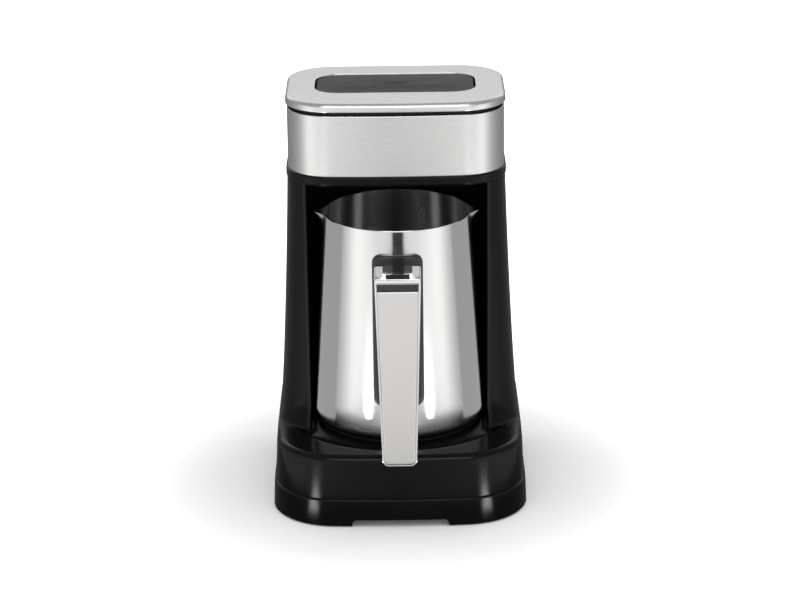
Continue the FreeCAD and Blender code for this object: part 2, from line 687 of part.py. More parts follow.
def sensor_housing():
    outside = cylinder(SENSOR_TUBE_RADIUS, SHIELD_INSIDE_Z, SENSOR_LIP_Z + SENSOR_LIP, 0.0, POT_Y)
    bore = cylinder(SENSOR_BORE_RADIUS, SENSOR_FLOOR_Z, SENSOR_LIP_Z, 0.0, POT_Y)
    neck = cylinder(SENSOR_NECK_BORE_RADIUS, SENSOR_LIP_Z, SENSOR_LIP_Z + SENSOR_LIP, 0.0, POT_Y)
    wire_hole = cylinder(SCREW_RADIUS, SHIELD_INSIDE_Z, SENSOR_FLOOR_Z, 0.0, POT_Y)
    return outside.cut(Part.makeCompound([bore, neck, wire_hole]))


def sensor_plunger():
    flange_top = SENSOR_LIP_Z - SENSOR_STOP_CLEARANCE
    flange = cylinder(SENSOR_BORE_RADIUS - SENSOR_FIT, flange_top - SENSOR_FLANGE, flange_top, 0.0, POT_Y)
    neck = cylinder(SENSOR_NECK_BORE_RADIUS - SENSOR_FIT, flange_top, HOTPLATE_TOP_Z, 0.0, POT_Y)
    neck = neck.makeFillet(SENSOR_EDGE, edges_at(neck, HOTPLATE_TOP_Z))
    return flange.fuse(neck).removeSplitter()


def sensor_spring():
    # A slotted spring: flat rings joined by pairs of bridges that turn by a quarter from gap to gap
    low = SENSOR_FLOOR_Z
    high = SENSOR_LIP_Z - SENSOR_STOP_CLEARANCE - SENSOR_FLANGE
    outer = SENSOR_BORE_RADIUS - SPRING_CLEARANCE
    inner = outer - SPRING_WIDTH
    pitch = (high - low - SPRING_RING_HEIGHT) / (SPRING_RINGS - 1)
    wall = tube(outer, inner, low, high, 0.0, POT_Y)
    half = SPRING_BRIDGE / 2
    gaps = []
    for index in range(SPRING_RINGS - 1):
        z0 = low + index * pitch + SPRING_RING_HEIGHT
        z1 = low + (index + 1) * pitch
        if index % 2:
            bridges = block(-outer, outer, POT_Y - half, POT_Y + half, z0, z1)
        else:
            bridges = block(-half, half, POT_Y - outer, POT_Y + outer, z0, z1)
        gaps.append(cylinder(BAY_RADIUS, z0, z1, 0.0, POT_Y).cut(bridges))
    return wall.cut(Part.makeCompound(gaps))


# Power electronics, mains inlet and wiring

def power_board():
    low = POWER_BOARD_Y - POWER_BOARD_DEPTH / 2
    high = POWER_BOARD_Y + POWER_BOARD_DEPTH / 2
    board = block(-POWER_BOARD_HALF_WIDTH, POWER_BOARD_HALF_WIDTH, low, high, POWER_BOARD_Z, POWER_BOARD_TOP_Z)
    plugs = [block(side * HARNESS_PLUG_X - PLUG_HALF_WIDTH, side * HARNESS_PLUG_X + PLUG_HALF_WIDTH,
                   high - PLUG_DEPTH, high, POWER_BOARD_TOP_Z, POWER_BOARD_TOP_Z + PLUG_HEIGHT)
             for side in (-1, 1)]
    spades = [block(x - SPADE_HALF_WIDTH, x + SPADE_HALF_WIDTH, high - SPADE_DEPTH, high,
                    POWER_BOARD_TOP_Z, POWER_BOARD_TOP_Z + SPADE_HEIGHT)
              for x, y in element_pin_points()]
    board = fused([board] + plugs + spades)
    holes = [screw_hole(side * POWER_POST_X, POWER_BOARD_Y + reach, POWER_BOARD_Z, POWER_BOARD_TOP_Z)
             for side in (-1, 1) for reach in (-POWER_POST_REACH, POWER_POST_REACH)]
    return board.cut(Part.makeCompound(holes))


def board_part(x, length, depth, height):
    return block(x - length / 2, x + length / 2, POWER_BOARD_Y - depth / 2, POWER_BOARD_Y + depth / 2,
                 POWER_BOARD_TOP_Z, POWER_BOARD_TOP_Z + height)


def relay():
    return board_part(RELAY_X, RELAY_LENGTH, RELAY_DEPTH, RELAY_HEIGHT)


def filter_capacitor():
    return board_part(CAPACITOR_X, CAPACITOR_LENGTH, CAPACITOR_DEPTH, CAPACITOR_HEIGHT)


def terminal_block():
    body = block(TERMINAL_X - TERMINAL_HALF_WIDTH, TERMINAL_X + TERMINAL_HALF_WIDTH,
                 TERMINAL_Y - TERMINAL_HALF_DEPTH, TERMINAL_Y + TERMINAL_HALF_DEPTH,
                 COVER_TOP_Z, COVER_TOP_Z + TERMINAL_HEIGHT)
    high = COVER_TOP_Z + TERMINAL_HEIGHT
    wells = [cylinder(TERMINAL_WELL_RADIUS, high - TERMINAL_WELL_DEPTH, high, x, TERMINAL_Y)
             for x in (TERMINAL_X - TERMINAL_PITCH, TERMINAL_X, TERMINAL_X + TERMINAL_PITCH)]
    return body.cut(Part.makeCompound(wells))


def cord_gland():
    wall_in = BACK_Y - SHELL_WALL
    outer = rod_along_y(GLAND_FLANGE_RADIUS, BACK_Y, BACK_Y + GLAND_OUTSIDE, TERMINAL_X, GLAND_Z)
    neck = rod_along_y(GLAND_NECK_RADIUS, wall_in, BACK_Y, TERMINAL_X, GLAND_Z)
    inner = rod_along_y(GLAND_FLANGE_RADIUS, wall_in - GLAND_INSIDE, wall_in, TERMINAL_X, GLAND_Z)
    bore = rod_along_y(GLAND_BORE_RADIUS, wall_in - GLAND_INSIDE, BACK_Y + GLAND_OUTSIDE, TERMINAL_X, GLAND_Z)
    return fused([outer, neck, inner]).cut(bore)


def lead_along(points, radius):
    runs = [points[i + 1] - points[i] for i in range(len(points) - 1)]
    edges = []
    start = points[0]
    for i in range(1, len(points) - 1):
        before = V(runs[i - 1]).normalize()
        after = V(runs[i]).normalize()
        trim = 0.45 * min(runs[i - 1].Length, runs[i].Length)
        arc_start = points[i] - before * trim
        arc_end = points[i] + after * trim
        turn = before.getAngle(after)
        bend = trim / math.tan(turn / 2)
        inward = (after - before).normalize()
        centre = points[i] + inward * (bend / math.cos(turn / 2))
        middle = centre - inward * bend
        edges.append(Part.LineSegment(start, arc_start).toShape())
        edges.append(Part.Arc(arc_start, middle, arc_end).toShape())
        start = arc_end
    edges.append(Part.LineSegment(start, points[-1]).toShape())
    section = Part.Wire(Part.makeCircle(radius, points[0], runs[0]))
    return Part.Wire(edges).makePipeShell([section], True, False)


def side_points(side, z):
    # The bends of a lead that runs along one side wall, from the front to the back
    wall_x = BASE_HALF_WIDTH - LEAD_SIDE_GAP
    corner_x = wall_x - LEAD_CORNER_STEP
    return [V(side * corner_x, LEAD_FRONT_Y, LEAD_Z), V(side * wall_x, LEAD_MIDDLE_Y, z),
            V(side * corner_x, LEAD_REAR_Y, z)]


def head_harness():
    plug_back = POWER_BOARD_Y + POWER_BOARD_DEPTH / 2
    start = [V(-HARNESS_PLUG_X, plug_back, LEAD_Z), V(-HARNESS_PLUG_X, plug_back + LEAD_FIRST_RUN, LEAD_Z)]
    rise = [V(-HARNESS_RISE_X, HARNESS_RISE_Y, LEAD_Z),
            V(-HARNESS_RISE_X, HARNESS_RISE_Y, CONTROL_BOARD_UNDER_Z - PLUG_DEPTH)]
    return lead_along(start + side_points(-1, LEAD_Z) + rise, HARNESS_RADIUS)


def mains_leads():
    plug_back = POWER_BOARD_Y + POWER_BOARD_DEPTH / 2
    front = TERMINAL_Y - TERMINAL_HALF_DEPTH
    x = TERMINAL_X + TERMINAL_LEAD_OFFSET
    z = COVER_TOP_Z + TERMINAL_HEIGHT / 2
    start = [V(HARNESS_PLUG_X, plug_back, LEAD_Z), V(HARNESS_PLUG_X, plug_back + LEAD_FIRST_RUN, LEAD_Z)]
    end = [V(x, front - LEAD_FIRST_RUN, z), V(x, front, z)]
    return lead_along(start + side_points(1, z + LEAD_RISE) + end, MAINS_LEAD_RADIUS)


def heater_leads():
    front = POWER_BOARD_Y + POWER_BOARD_DEPTH / 2
    z = POWER_BOARD_TOP_Z + SPADE_HEIGHT / 2
    return Part.makeCompound([rod_along_y(HEATER_LEAD_RADIUS, front, y - PIN_RADIUS, x, z)
                              for x, y in element_pin_points()])


# Tower

def rear_opening(grow, y0, y1):
    half = REAR_OPENING_HALF_WIDTH + grow
    low = BASE_HEIGHT + REAR_OPENING_MARGIN - grow
    high = TOWER_TOP_Z - REAR_OPENING_MARGIN + grow
    return block(-half, half, y0, y1, low, high)


def rear_screw_points():
    x = REAR_OPENING_HALF_WIDTH - REAR_LEDGE / 2
    low = BASE_HEIGHT + REAR_OPENING_MARGIN + REAR_LEDGE / 2
    high = TOWER_TOP_Z - REAR_OPENING_MARGIN - REAR_LEDGE / 2
    return [(side * x, z) for side in (-1, 1) for z in (low, high)]


def tower_shell():
    levels = tower_levels(BASE_HEIGHT)
    outside = plan_loft(levels)
    shell = outside.cut(plan_loft(levels, SHELL_WALL))
    wall_in = BACK_Y - SHELL_WALL
    ledge_in = wall_in - SHELL_WALL
    shell = shell.cut(rear_opening(0.0, ledge_in, BACK_Y))
    ledge = rear_opening(REAR_LEDGE_OUTSIDE, ledge_in, wall_in).cut(rear_opening(-REAR_LEDGE, ledge_in, wall_in))
    bosses = []
    for x, y in frame_points():
        side = math.copysign(1.0, x)
        for z0, z1 in ((BASE_HEIGHT, BASE_HEIGHT + BOSS_HEIGHT), (TOWER_TOP_Z - BOSS_HEIGHT, TOWER_TOP_Z)):
            rib = block(min(x, side * BASE_HALF_WIDTH), max(x, side * BASE_HALF_WIDTH),
                        y - RIB_THICKNESS / 2, y + RIB_THICKNESS / 2, z0, z1)
            bosses.append(cylinder(BOSS_RADIUS, z0, z1, x, y).fuse(rib).common(outside))
    shell = fused([shell, ledge] + bosses)
    shell = shell.cut(bay_prism(BAY_RADIUS + LINER_WALL, BASE_HEIGHT, TOWER_TOP_Z))
    holes = [screw_hole(x, y, BASE_HEIGHT, BASE_HEIGHT + SCREW_GRIP) for x, y in frame_points()]
    holes += [screw_hole(x, y, TOWER_TOP_Z - SCREW_GRIP, TOWER_TOP_Z) for x, y in frame_points()]
    holes += [rod_along_y(SCREW_RADIUS + SCREW_HOLE_CLEARANCE, ledge_in, wall_in, x, z)
              for x, z in rear_screw_points()]
    return shell.cut(Part.makeCompound(holes))


def rear_cover():
    plate = rear_opening(-REAR_COVER_CLEARANCE, BACK_Y - SHELL_WALL, BACK_Y)
    holes = [rod_along_y(SCREW_RADIUS + SCREW_HOLE_CLEARANCE, BACK_Y - SHELL_WALL, BACK_Y, x, z)
             for x, z in rear_screw_points()]
    holes += [rod_along_y(SCREW_HEAD_RADIUS + SCREW_HEAD_CLEARANCE, BACK_Y - SCREW_HEAD_HEIGHT, BACK_Y, x, z)
              for x, z in rear_screw_points()]
    return plate.cut(Part.makeCompound(holes))


def rear_cover_screws():
    length = 2 * SHELL_WALL - SCREW_HEAD_HEIGHT
    return Part.makeCompound([screw_along_y(x, BACK_Y - SCREW_HEAD_HEIGHT, z, length)
                              for x, z in rear_screw_points()])


def bay_liner():
    wall = bay_prism(BAY_RADIUS + LINER_WALL, BASE_HEIGHT, TOWER_TOP_Z)
    wall = wall.cut(bay_prism(BAY_RADIUS, BASE_HEIGHT, TOWER_TOP_Z))
    return wall.common(plan_loft(tower_levels(BASE_HEIGHT)))


def tower_screws():
    return Part.makeCompound([screw(x, y, DECK_UNDER_Z, True, BASE_HEIGHT - DECK_UNDER_Z + SCREW_GRIP)
                              for x, y in frame_points()])


# Head

def trim_ring():
    ring = plan_solid(RING, TOWER_TOP_Z, RING_TOP_Z)
    ring = ring.makeFillet(RING_EDGE_RADIUS, edges_at(ring, TOWER_TOP_Z) + edges_at(ring, RING_TOP_Z))
    ring = ring.cut(plan_solid(RING, TOWER_TOP_Z, RING_TOP_Z, RING_WIDTH))
    return ring.cut(Part.makeCompound([screw_hole(x, y, TOWER_TOP_Z, RING_TOP_Z) for x, y in frame_points()]))


def head_underside():
    low = RING_TOP_Z - UNDERSIDE_THICKNESS
    plate = plan_solid(RING, low, RING_TOP_Z, RING_WIDTH + UNDERSIDE_CLEARANCE)
    posts = [cylinder(BOSS_RADIUS, TOWER_TOP_Z, low, x, y) for x, y in frame_points()]
    plate = fused([plate] + [post.common(plan_solid(RING, TOWER_TOP_Z, low, RING_WIDTH + UNDERSIDE_CLEARANCE))
                             for post in posts])
    holes = [screw_hole(x, y, TOWER_TOP_Z, RING_TOP_Z) for x, y in frame_points()]
    holes.append(cylinder(WINDOW_RADIUS, low, RING_TOP_Z, 0.0, POT_Y))
    holes.append(cylinder(CABLE_HOLE_RADIUS, low, RING_TOP_Z, -HARNESS_RISE_X, HARNESS_RISE_Y))
    return plate.cut(Part.makeCompound(holes))


def sensor_window():
    return cylinder(WINDOW_RADIUS, RING_TOP_Z - UNDERSIDE_THICKNESS, RING_TOP_Z, 0.0, POT_Y)


def steel_band():
    return plan_solid(HEAD, RING_TOP_Z, BAND_TOP_Z).cut(plan_solid(HEAD, RING_TOP_Z, BAND_TOP_Z, BAND_WALL))


def control_post_points():
    return [(side * CONTROL_POST_X, PANEL_Y + reach)
            for side in (-1, 1) for reach in (-CONTROL_POST_REACH, CONTROL_POST_REACH)]


def head_chassis():
    tub = plan_solid(HEAD, RING_TOP_Z, BAND_TOP_Z, BAND_WALL)
    tub = tub.cut(plan_solid(HEAD, CHASSIS_FLOOR_TOP_Z, BAND_TOP_Z, BAND_WALL + CHASSIS_WALL))
    posts = [cylinder(POST_RADIUS, RING_TOP_Z, CONTROL_BOARD_UNDER_Z, x, y) for x, y in control_post_points()]
    tub = fused([tub] + posts)
    holes = [screw_hole(x, y, RING_TOP_Z, CHASSIS_FLOOR_TOP_Z) for x, y in frame_points()]
    holes += [screw_hole(x, y, CONTROL_BOARD_UNDER_Z - BOARD_HOLE_GRIP, CONTROL_BOARD_UNDER_Z)
              for x, y in control_post_points()]
    holes.append(cylinder(WINDOW_EYE_RADIUS, RING_TOP_Z, CHASSIS_FLOOR_TOP_Z, 0.0, POT_Y))
    holes.append(cylinder(CABLE_HOLE_RADIUS, RING_TOP_Z, CHASSIS_FLOOR_TOP_Z, -HARNESS_RISE_X, HARNESS_RISE_Y))
    return tub.cut(Part.makeCompound(holes))


def head_screws():
    depth = CHASSIS_WALL + RING_HEIGHT + SCREW_GRIP
    return Part.makeCompound([screw(x, y, CHASSIS_FLOOR_TOP_Z, False, depth) for x, y in frame_points()])


def foam_sensor():
    half = FOAM_SENSOR_SIZE / 2
    body = block(-half, half, POT_Y - half, POT_Y + half, CHASSIS_FLOOR_TOP_Z,
                 CHASSIS_FLOOR_TOP_Z + FOAM_SENSOR_HEIGHT)
    eye = cylinder(WINDOW_EYE_RADIUS - EYE_CLEARANCE, RING_TOP_Z, CHASSIS_FLOOR_TOP_Z, 0.0, POT_Y)
    return body.fuse(eye).removeSplitter()


def lid_gasket():
    outer = plan_solid(HEAD, BAND_TOP_Z, GAP_TOP_Z, SHADOW_INSET)
    return outer.cut(plan_solid(HEAD, BAND_TOP_Z, GAP_TOP_Z, SHADOW_INSET + GASKET_WIDTH))


def panel_solid(z0, z1, grow):
    half = PANEL_HALF_WIDTH + grow
    reach = PANEL_DEPTH / 2 + grow
    body = block(-half, half, PANEL_Y - reach, PANEL_Y + reach, z0, z1)
    upright = [edge for edge in body.Edges if edge.BoundBox.ZLength > (z1 - z0) / 2]
    return body.makeFillet(PANEL_CORNER + grow, upright)


def top_cap():
    cap = plan_solid(CAP, GAP_TOP_Z, CAP_TOP_Z)
    cap = cap.makeFillet(CAP_EDGE_RADIUS, edges_at(cap, CAP_TOP_Z))
    cap = cap.cut(plan_solid(CAP, GAP_TOP_Z, CAP_FRAME_TOP_Z, CAP_EDGE_RADIUS / 2))
    return cap.cut(panel_solid(GAP_TOP_Z, CAP_TOP_Z, PANEL_GAP))


def guide_points():
    return [(-GUIDE_X, PANEL_Y), (GUIDE_X, PANEL_Y)]


def cap_frame():
    plate = plan_solid(CAP, GAP_TOP_Z, CAP_FRAME_TOP_Z, CAP_EDGE_RADIUS / 2)
    well = panel_solid(WELL_UNDER_Z, GAP_TOP_Z, PANEL_GAP + WELL_WALL)
    frame = fused([plate, well]).cut(panel_solid(WELL_TOP_Z, CAP_TOP_Z, PANEL_GAP))
    holes = [cylinder(GUIDE_RADIUS + GUIDE_FIT, WELL_UNDER_Z, WELL_TOP_Z, x, y) for x, y in guide_points()]
    holes.append(cylinder(STEM_RADIUS + STEM_CLEARANCE, WELL_UNDER_Z, WELL_TOP_Z, 0.0, PANEL_Y))
    holes.append(cylinder(LIGHT_GUIDE_RADIUS, WELL_UNDER_Z, WELL_TOP_Z, LED_X, PANEL_Y))
    return frame.cut(Part.makeCompound(holes))


def top_panel():
    panel = panel_solid(PANEL_UNDER_Z, PANEL_TOP_Z, 0.0)
    panel = panel.makeFillet(PANEL_EDGE, edges_at(panel, PANEL_TOP_Z))
    clip_z = WELL_UNDER_Z - CLIP_THICKNESS
    guides = [cylinder(GUIDE_RADIUS, clip_z - GUIDE_END, PANEL_UNDER_Z, x, y) for x, y in guide_points()]
    stem_end = SWITCH_TOP_Z + PANEL_TRAVEL + STEM_OVER_SWITCH
    stem = cylinder(STEM_RADIUS, stem_end, PANEL_UNDER_Z, 0.0, PANEL_Y)
    mark = Part.Ellipse(V(0, PANEL_Y, PANEL_TOP_Z - MARK_DEPTH), MARK_HALF_LENGTH, MARK_HALF_WIDTH)
    dimple = Part.Face(Part.Wire(mark.toShape())).extrude(V(0, 0, 2 * MARK_DEPTH))
    return fused([panel, stem] + guides).cut(dimple)


def button_clips():
    high = WELL_UNDER_Z - GUIDE_FIT
    return Part.makeCompound([tube(CLIP_RADIUS, GUIDE_RADIUS, high - CLIP_THICKNESS, high, x, y)
                              for x, y in guide_points()])


def button_sleeves():
    inner = GUIDE_RADIUS + GUIDE_FIT
    return Part.makeCompound([tube(inner + SLEEVE_WALL, inner, WELL_TOP_Z, PANEL_UNDER_Z, x, y)
                              for x, y in guide_points()])


def control_board():
    low = PANEL_Y - CONTROL_BOARD_DEPTH / 2
    high = PANEL_Y + CONTROL_BOARD_DEPTH / 2
    board = block(-CONTROL_BOARD_HALF_WIDTH, CONTROL_BOARD_HALF_WIDTH, low, high,
                  CONTROL_BOARD_UNDER_Z, CONTROL_BOARD_TOP_Z)
    plug = block(-HARNESS_RISE_X - HARNESS_PLUG_HALF, -HARNESS_RISE_X + HARNESS_PLUG_HALF,
                 HARNESS_RISE_Y - HARNESS_PLUG_HALF, HARNESS_RISE_Y + HARNESS_PLUG_HALF,
                 CONTROL_BOARD_UNDER_Z - PLUG_DEPTH, CONTROL_BOARD_UNDER_Z)
    board = fused([board, plug])
    return board.cut(Part.makeCompound([screw_hole(x, y, CONTROL_BOARD_UNDER_Z, CONTROL_BOARD_TOP_Z)
                                        for x, y in control_post_points()]))


def board_screws():
    depth = BOARD_THICKNESS + BOARD_SCREW_GRIP
    return Part.makeCompound([screw(x, y, CONTROL_BOARD_TOP_Z, False, depth) for x, y in control_post_points()])


def tact_switch():
    half = SWITCH_BODY / 2
    body = block(-half, half, PANEL_Y - half, PANEL_Y + half, CONTROL_BOARD_TOP_Z, SWITCH_TOP_Z)
    cap = cylinder(SWITCH_CAP_RADIUS, SWITCH_TOP_Z, SWITCH_TOP_Z + SWITCH_CAP_HEIGHT, 0.0, PANEL_Y)
    return body.fuse(cap).removeSplitter()


def buzzer():
    y = PANEL_Y - BUZZER_SETBACK
    top = CONTROL_BOARD_TOP_Z + BUZZER_HEIGHT
    body = cylinder(BUZZER_RADIUS, CONTROL_BOARD_TOP_Z, top, BUZZER_X, y)
    return body.cut(cylinder(BUZZER_HOLE_RADIUS, top - BUZZER_HOLE_RADIUS, top, BUZZER_X, y))


def indicator_led():
    low = CONTROL_BOARD_TOP_Z
    body = cylinder(LED_RADIUS, low, low + LED_HEIGHT - LED_RADIUS, LED_X, PANEL_Y)
    dome = Part.makeSphere(LED_RADIUS, V(LED_X, PANEL_Y, low + LED_HEIGHT - LED_RADIUS))
    return body.fuse(dome).removeSplitter()


def light_guide():
    low = CONTROL_BOARD_TOP_Z + LED_HEIGHT + LIGHT_GUIDE_GAP
    high = PANEL_UNDER_Z - PANEL_TRAVEL - LIGHT_GUIDE_GAP
    return cylinder(LIGHT_GUIDE_RADIUS, low, high, LED_X, PANEL_Y)


# Pot

def pot_radius(z):
    return POT_BOTTOM_RADIUS + (POT_RIM_RADIUS - POT_BOTTOM_RADIUS) * (z - POT_Z) / POT_HEIGHT


def beak_wire(z, share, inset):
    points = []
    for index in range(BEAK_SAMPLES):
        angle = 2 * math.pi * index / BEAK_SAMPLES
        off = math.degrees(math.asin(abs(math.sin(angle))))
        reach = BEAK_REACH * share ** 1.6 * math.exp(-(off / BEAK_SPREAD) ** 2)
        radius = pot_radius(z) - inset + reach
        points.append(V(radius * math.cos(angle), POT_Y + radius * math.sin(angle), z))
    curve = Part.BSplineCurve()
    curve.interpolate(Points=points, PeriodicFlag=True)
    return Part.Wire(curve.toShape())


def beak_solid(inset):
    low = RIM_Z - BEAK_DEPTH
    circle = Part.Wire(Part.makeCircle(pot_radius(low) - inset, V(0, POT_Y, low)))
    wires = [circle] + [beak_wire(low + share * BEAK_DEPTH, share, inset) for share in BEAK_LEVELS[1:]]
    return Part.makeLoft(wires, True, False)


def pot_lower_solid(inset, bottom, edge_radius):
    top = RIM_Z - BEAK_DEPTH
    body = revolved([(0.0, bottom), (pot_radius(bottom) - inset, bottom), (pot_radius(top) - inset, top),
                     (0.0, top)], 0.0, POT_Y)
    return body.makeFillet(edge_radius, edges_at(body, bottom))


def pot_shell():
    disc_top = POT_Z + DISC_THICKNESS
    outer = pot_lower_solid(0.0, POT_EDGE_Z, POT_EDGE_RADIUS)
    inner = pot_lower_solid(POT_WALL, disc_top + POT_WALL, POT_EDGE_RADIUS - POT_WALL)
    lower = outer.cut(inner).cut(cylinder(DISC_RADIUS, POT_Z, disc_top, 0.0, POT_Y))
    return lower.fuse(beak_solid(0.0).cut(beak_solid(POT_WALL)))


def pot_base_disc():
    disc = cylinder(DISC_RADIUS, POT_Z, POT_Z + DISC_THICKNESS, 0.0, POT_Y)
    return disc.makeFillet(DISC_EDGE, edges_at(disc, POT_Z))


# Handle, on the pot

def pot_outside(grow):
    return Part.makeCone(POT_BOTTOM_RADIUS + grow, POT_RIM_RADIUS + grow, POT_HEIGHT, V(0, POT_Y, POT_Z))


def stud_rod(z, length):
    wall = POT_Y - pot_radius(z)
    return rod_along_y(STUD_RADIUS, wall - length, wall + POT_WALL, 0.0, z).cut(pot_outside(0.0))


def top_stud():
    return stud_rod(GRIP_TOP_Z - BRIDGE_COVER - BRIDGE_HEIGHT / 2 + BRIDGE_COVER / 2, STUD_LENGTH)


def low_stud():
    return stud_rod(PLATE_TOP_Z - PLATE_HEIGHT + LOW_STUD_LIFT, LOW_STUD_LENGTH)


def handle_mount_plate():
    reach = POT_BOTTOM_RADIUS * 2
    body = block(-PLATE_HALF_WIDTH, PLATE_HALF_WIDTH, POT_Y - reach, POT_Y,
                 PLATE_TOP_Z - PLATE_HEIGHT, PLATE_TOP_Z)
    body = body.makeFillet(PLATE_CORNER, [edge for edge in body.Edges if edge.BoundBox.YLength > reach / 2])
    plate = body.common(pot_outside(PLATE_PROUD)).cut(pot_outside(0.0))
    return plate.cut(Part.makeCompound([top_stud(), low_stud()]))


def grip_slab(front, back, margin, top, length, corner):
    # The grip lies in its own plane, whose depth runs inwards from the front face, and is tilted at the end
    def half_width(drop):
        return (GRIP_TOP_WIDTH + (GRIP_END_WIDTH - GRIP_TOP_WIDTH) * drop / GRIP_LENGTH) / 2 - margin

    corners = [V(-half_width(top), front, -top), V(half_width(top), front, -top),
               V(half_width(length), front, -length), V(-half_width(length), front, -length)]
    slab = Part.Face(Part.makePolygon(corners + corners[:1])).extrude(V(0, back - front, 0))
    low = [edge for edge in slab.Edges if edge.BoundBox.YLength > (back - front) / 2
           and edge.BoundBox.ZMax < -length + 1.0]
    slab = slab.makeFillet(corner, low)
    slab.rotate(V(0, 0, 0), V(1, 0, 0), -GRIP_SLANT)
    slab.translate(V(0, GRIP_TOP_Y, GRIP_TOP_Z))
    return slab


def bridge_block(half_width, z0, z1, y0):
    body = block(-half_width, half_width, y0, POT_Y, z0, z1)
    return body.cut(pot_outside(PLATE_PROUD))


def handle_face():
    return grip_slab(0.0, FACE_THICKNESS, FACE_MARGIN, TOP_BAR_HEIGHT + SLOT_HEIGHT,
                     GRIP_LENGTH - FACE_MARGIN, GRIP_END_CORNER - FACE_MARGIN)


def handle_inlay():
    return grip_slab(FACE_THICKNESS / 2, FACE_THICKNESS, FACE_MARGIN, TOP_BAR_HEIGHT,
                     TOP_BAR_HEIGHT + SLOT_HEIGHT, SLOT_CORNER)


def handle_trim():
    body = grip_slab(0.0, TRIM_DEPTH, 0.0, 0.0, GRIP_LENGTH, GRIP_END_CORNER)
    pocket = grip_slab(-FACE_THICKNESS, FACE_THICKNESS, FACE_MARGIN, TOP_BAR_HEIGHT,
                       GRIP_LENGTH - FACE_MARGIN, GRIP_END_CORNER - FACE_MARGIN)
    cover = bridge_block(GRIP_TOP_WIDTH / 2, GRIP_TOP_Z - BRIDGE_COVER, GRIP_TOP_Z, GRIP_TOP_Y + 1.0)
    level = block(-GRIP_TOP_WIDTH, GRIP_TOP_WIDTH, GRIP_TOP_Y * 2, POT_Y, GRIP_TOP_Z, GRIP_TOP_Z + BRIDGE_HEIGHT)
    return fused([body.cut(pocket), cover]).cut(level)


def handle_core():
    back = grip_slab(TRIM_DEPTH, GRIP_THICKNESS, FACE_MARGIN, BRIDGE_COVER, GRIP_LENGTH - FACE_MARGIN,
                     GRIP_END_CORNER - FACE_MARGIN)
    bridge = bridge_block(BRIDGE_HALF_WIDTH, GRIP_TOP_Z - BRIDGE_HEIGHT, GRIP_TOP_Z - BRIDGE_COVER,
                          GRIP_TOP_Y + TRIM_DEPTH)
    ceiling = block(-GRIP_TOP_WIDTH, GRIP_TOP_WIDTH, GRIP_TOP_Y * 2, POT_Y, GRIP_TOP_Z - BRIDGE_COVER,
                    GRIP_TOP_Z + BRIDGE_HEIGHT)
    trim = grip_slab(0.0, TRIM_DEPTH, 0.0, 0.0, GRIP_LENGTH, GRIP_END_CORNER)
    return fused([back, bridge]).cut(ceiling).cut(trim).cut(top_stud())


def handle_studs():
    return Part.makeCompound([top_stud(), low_stud()])


NODES = [base_shell, bottom_cover, rubber_feet, bottom_screws,
         hotplate_seal, hotplate, heating_element, element_pins, heat_shield, hotplate_screws,
         thermostat, thermal_fuse, sensor_housing, sensor_plunger, sensor_spring,
         power_board, relay, filter_capacitor, terminal_block, cord_gland,
         head_harness, mains_leads, heater_leads,
         tower_shell, rear_cover, rear_cover_screws, bay_liner, tower_screws,
         trim_ring, head_underside, sensor_window, steel_band, head_chassis, head_screws, foam_sensor,
         lid_gasket, top_cap, cap_frame, top_panel, button_clips, button_sleeves,
         control_board, board_screws, tact_switch, buzzer, indicator_led, light_guide,
         pot_shell, pot_base_disc, handle_mount_plate, handle_core, handle_trim, handle_face,
         handle_inlay, handle_studs]


def main():
    os.makedirs("parts", exist_ok=True)
    for node in NODES:
        shape = node()
        shape.exportStep("parts/" + node.__name__ + ".step")
        box = shape.BoundBox
        print(node.__name__, "solids", len(shape.Solids), "valid", shape.isValid(), "volume", round(shape.Volume, 1),
              "x", round(box.XMin, 1), round(box.XMax, 1), "y", round(box.YMin, 1), round(box.YMax, 1),
              "z", round(box.ZMin, 1), round(box.ZMax, 1))


main()
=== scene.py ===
import collections
import json
import math

import bmesh
import bpy
from mathutils import Matrix, Vector


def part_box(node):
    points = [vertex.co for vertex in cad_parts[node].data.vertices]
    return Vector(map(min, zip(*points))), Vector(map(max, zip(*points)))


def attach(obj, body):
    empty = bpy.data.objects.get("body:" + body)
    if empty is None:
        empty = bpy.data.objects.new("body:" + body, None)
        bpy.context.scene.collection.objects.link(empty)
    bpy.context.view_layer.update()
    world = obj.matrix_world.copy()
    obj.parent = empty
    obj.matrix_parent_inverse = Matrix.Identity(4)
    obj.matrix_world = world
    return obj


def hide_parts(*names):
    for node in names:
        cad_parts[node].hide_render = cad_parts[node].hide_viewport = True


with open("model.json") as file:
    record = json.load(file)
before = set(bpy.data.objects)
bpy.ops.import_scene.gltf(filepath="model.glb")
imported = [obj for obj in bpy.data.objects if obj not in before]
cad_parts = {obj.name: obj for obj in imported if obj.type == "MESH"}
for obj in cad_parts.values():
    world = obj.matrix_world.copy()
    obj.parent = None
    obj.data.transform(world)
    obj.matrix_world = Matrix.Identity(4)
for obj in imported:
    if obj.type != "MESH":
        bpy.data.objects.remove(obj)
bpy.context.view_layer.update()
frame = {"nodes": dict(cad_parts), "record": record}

MM = 0.001
Outline = collections.namedtuple("Outline", "half front back front_radius back_radius")

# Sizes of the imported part, in millimetres
POT_Y = 8.4
HEAD_FRONT_Y = -14.3
BACK_Y = 73.2
BOW_RADIUS = 520.0
BODY_CORNER = 25.0

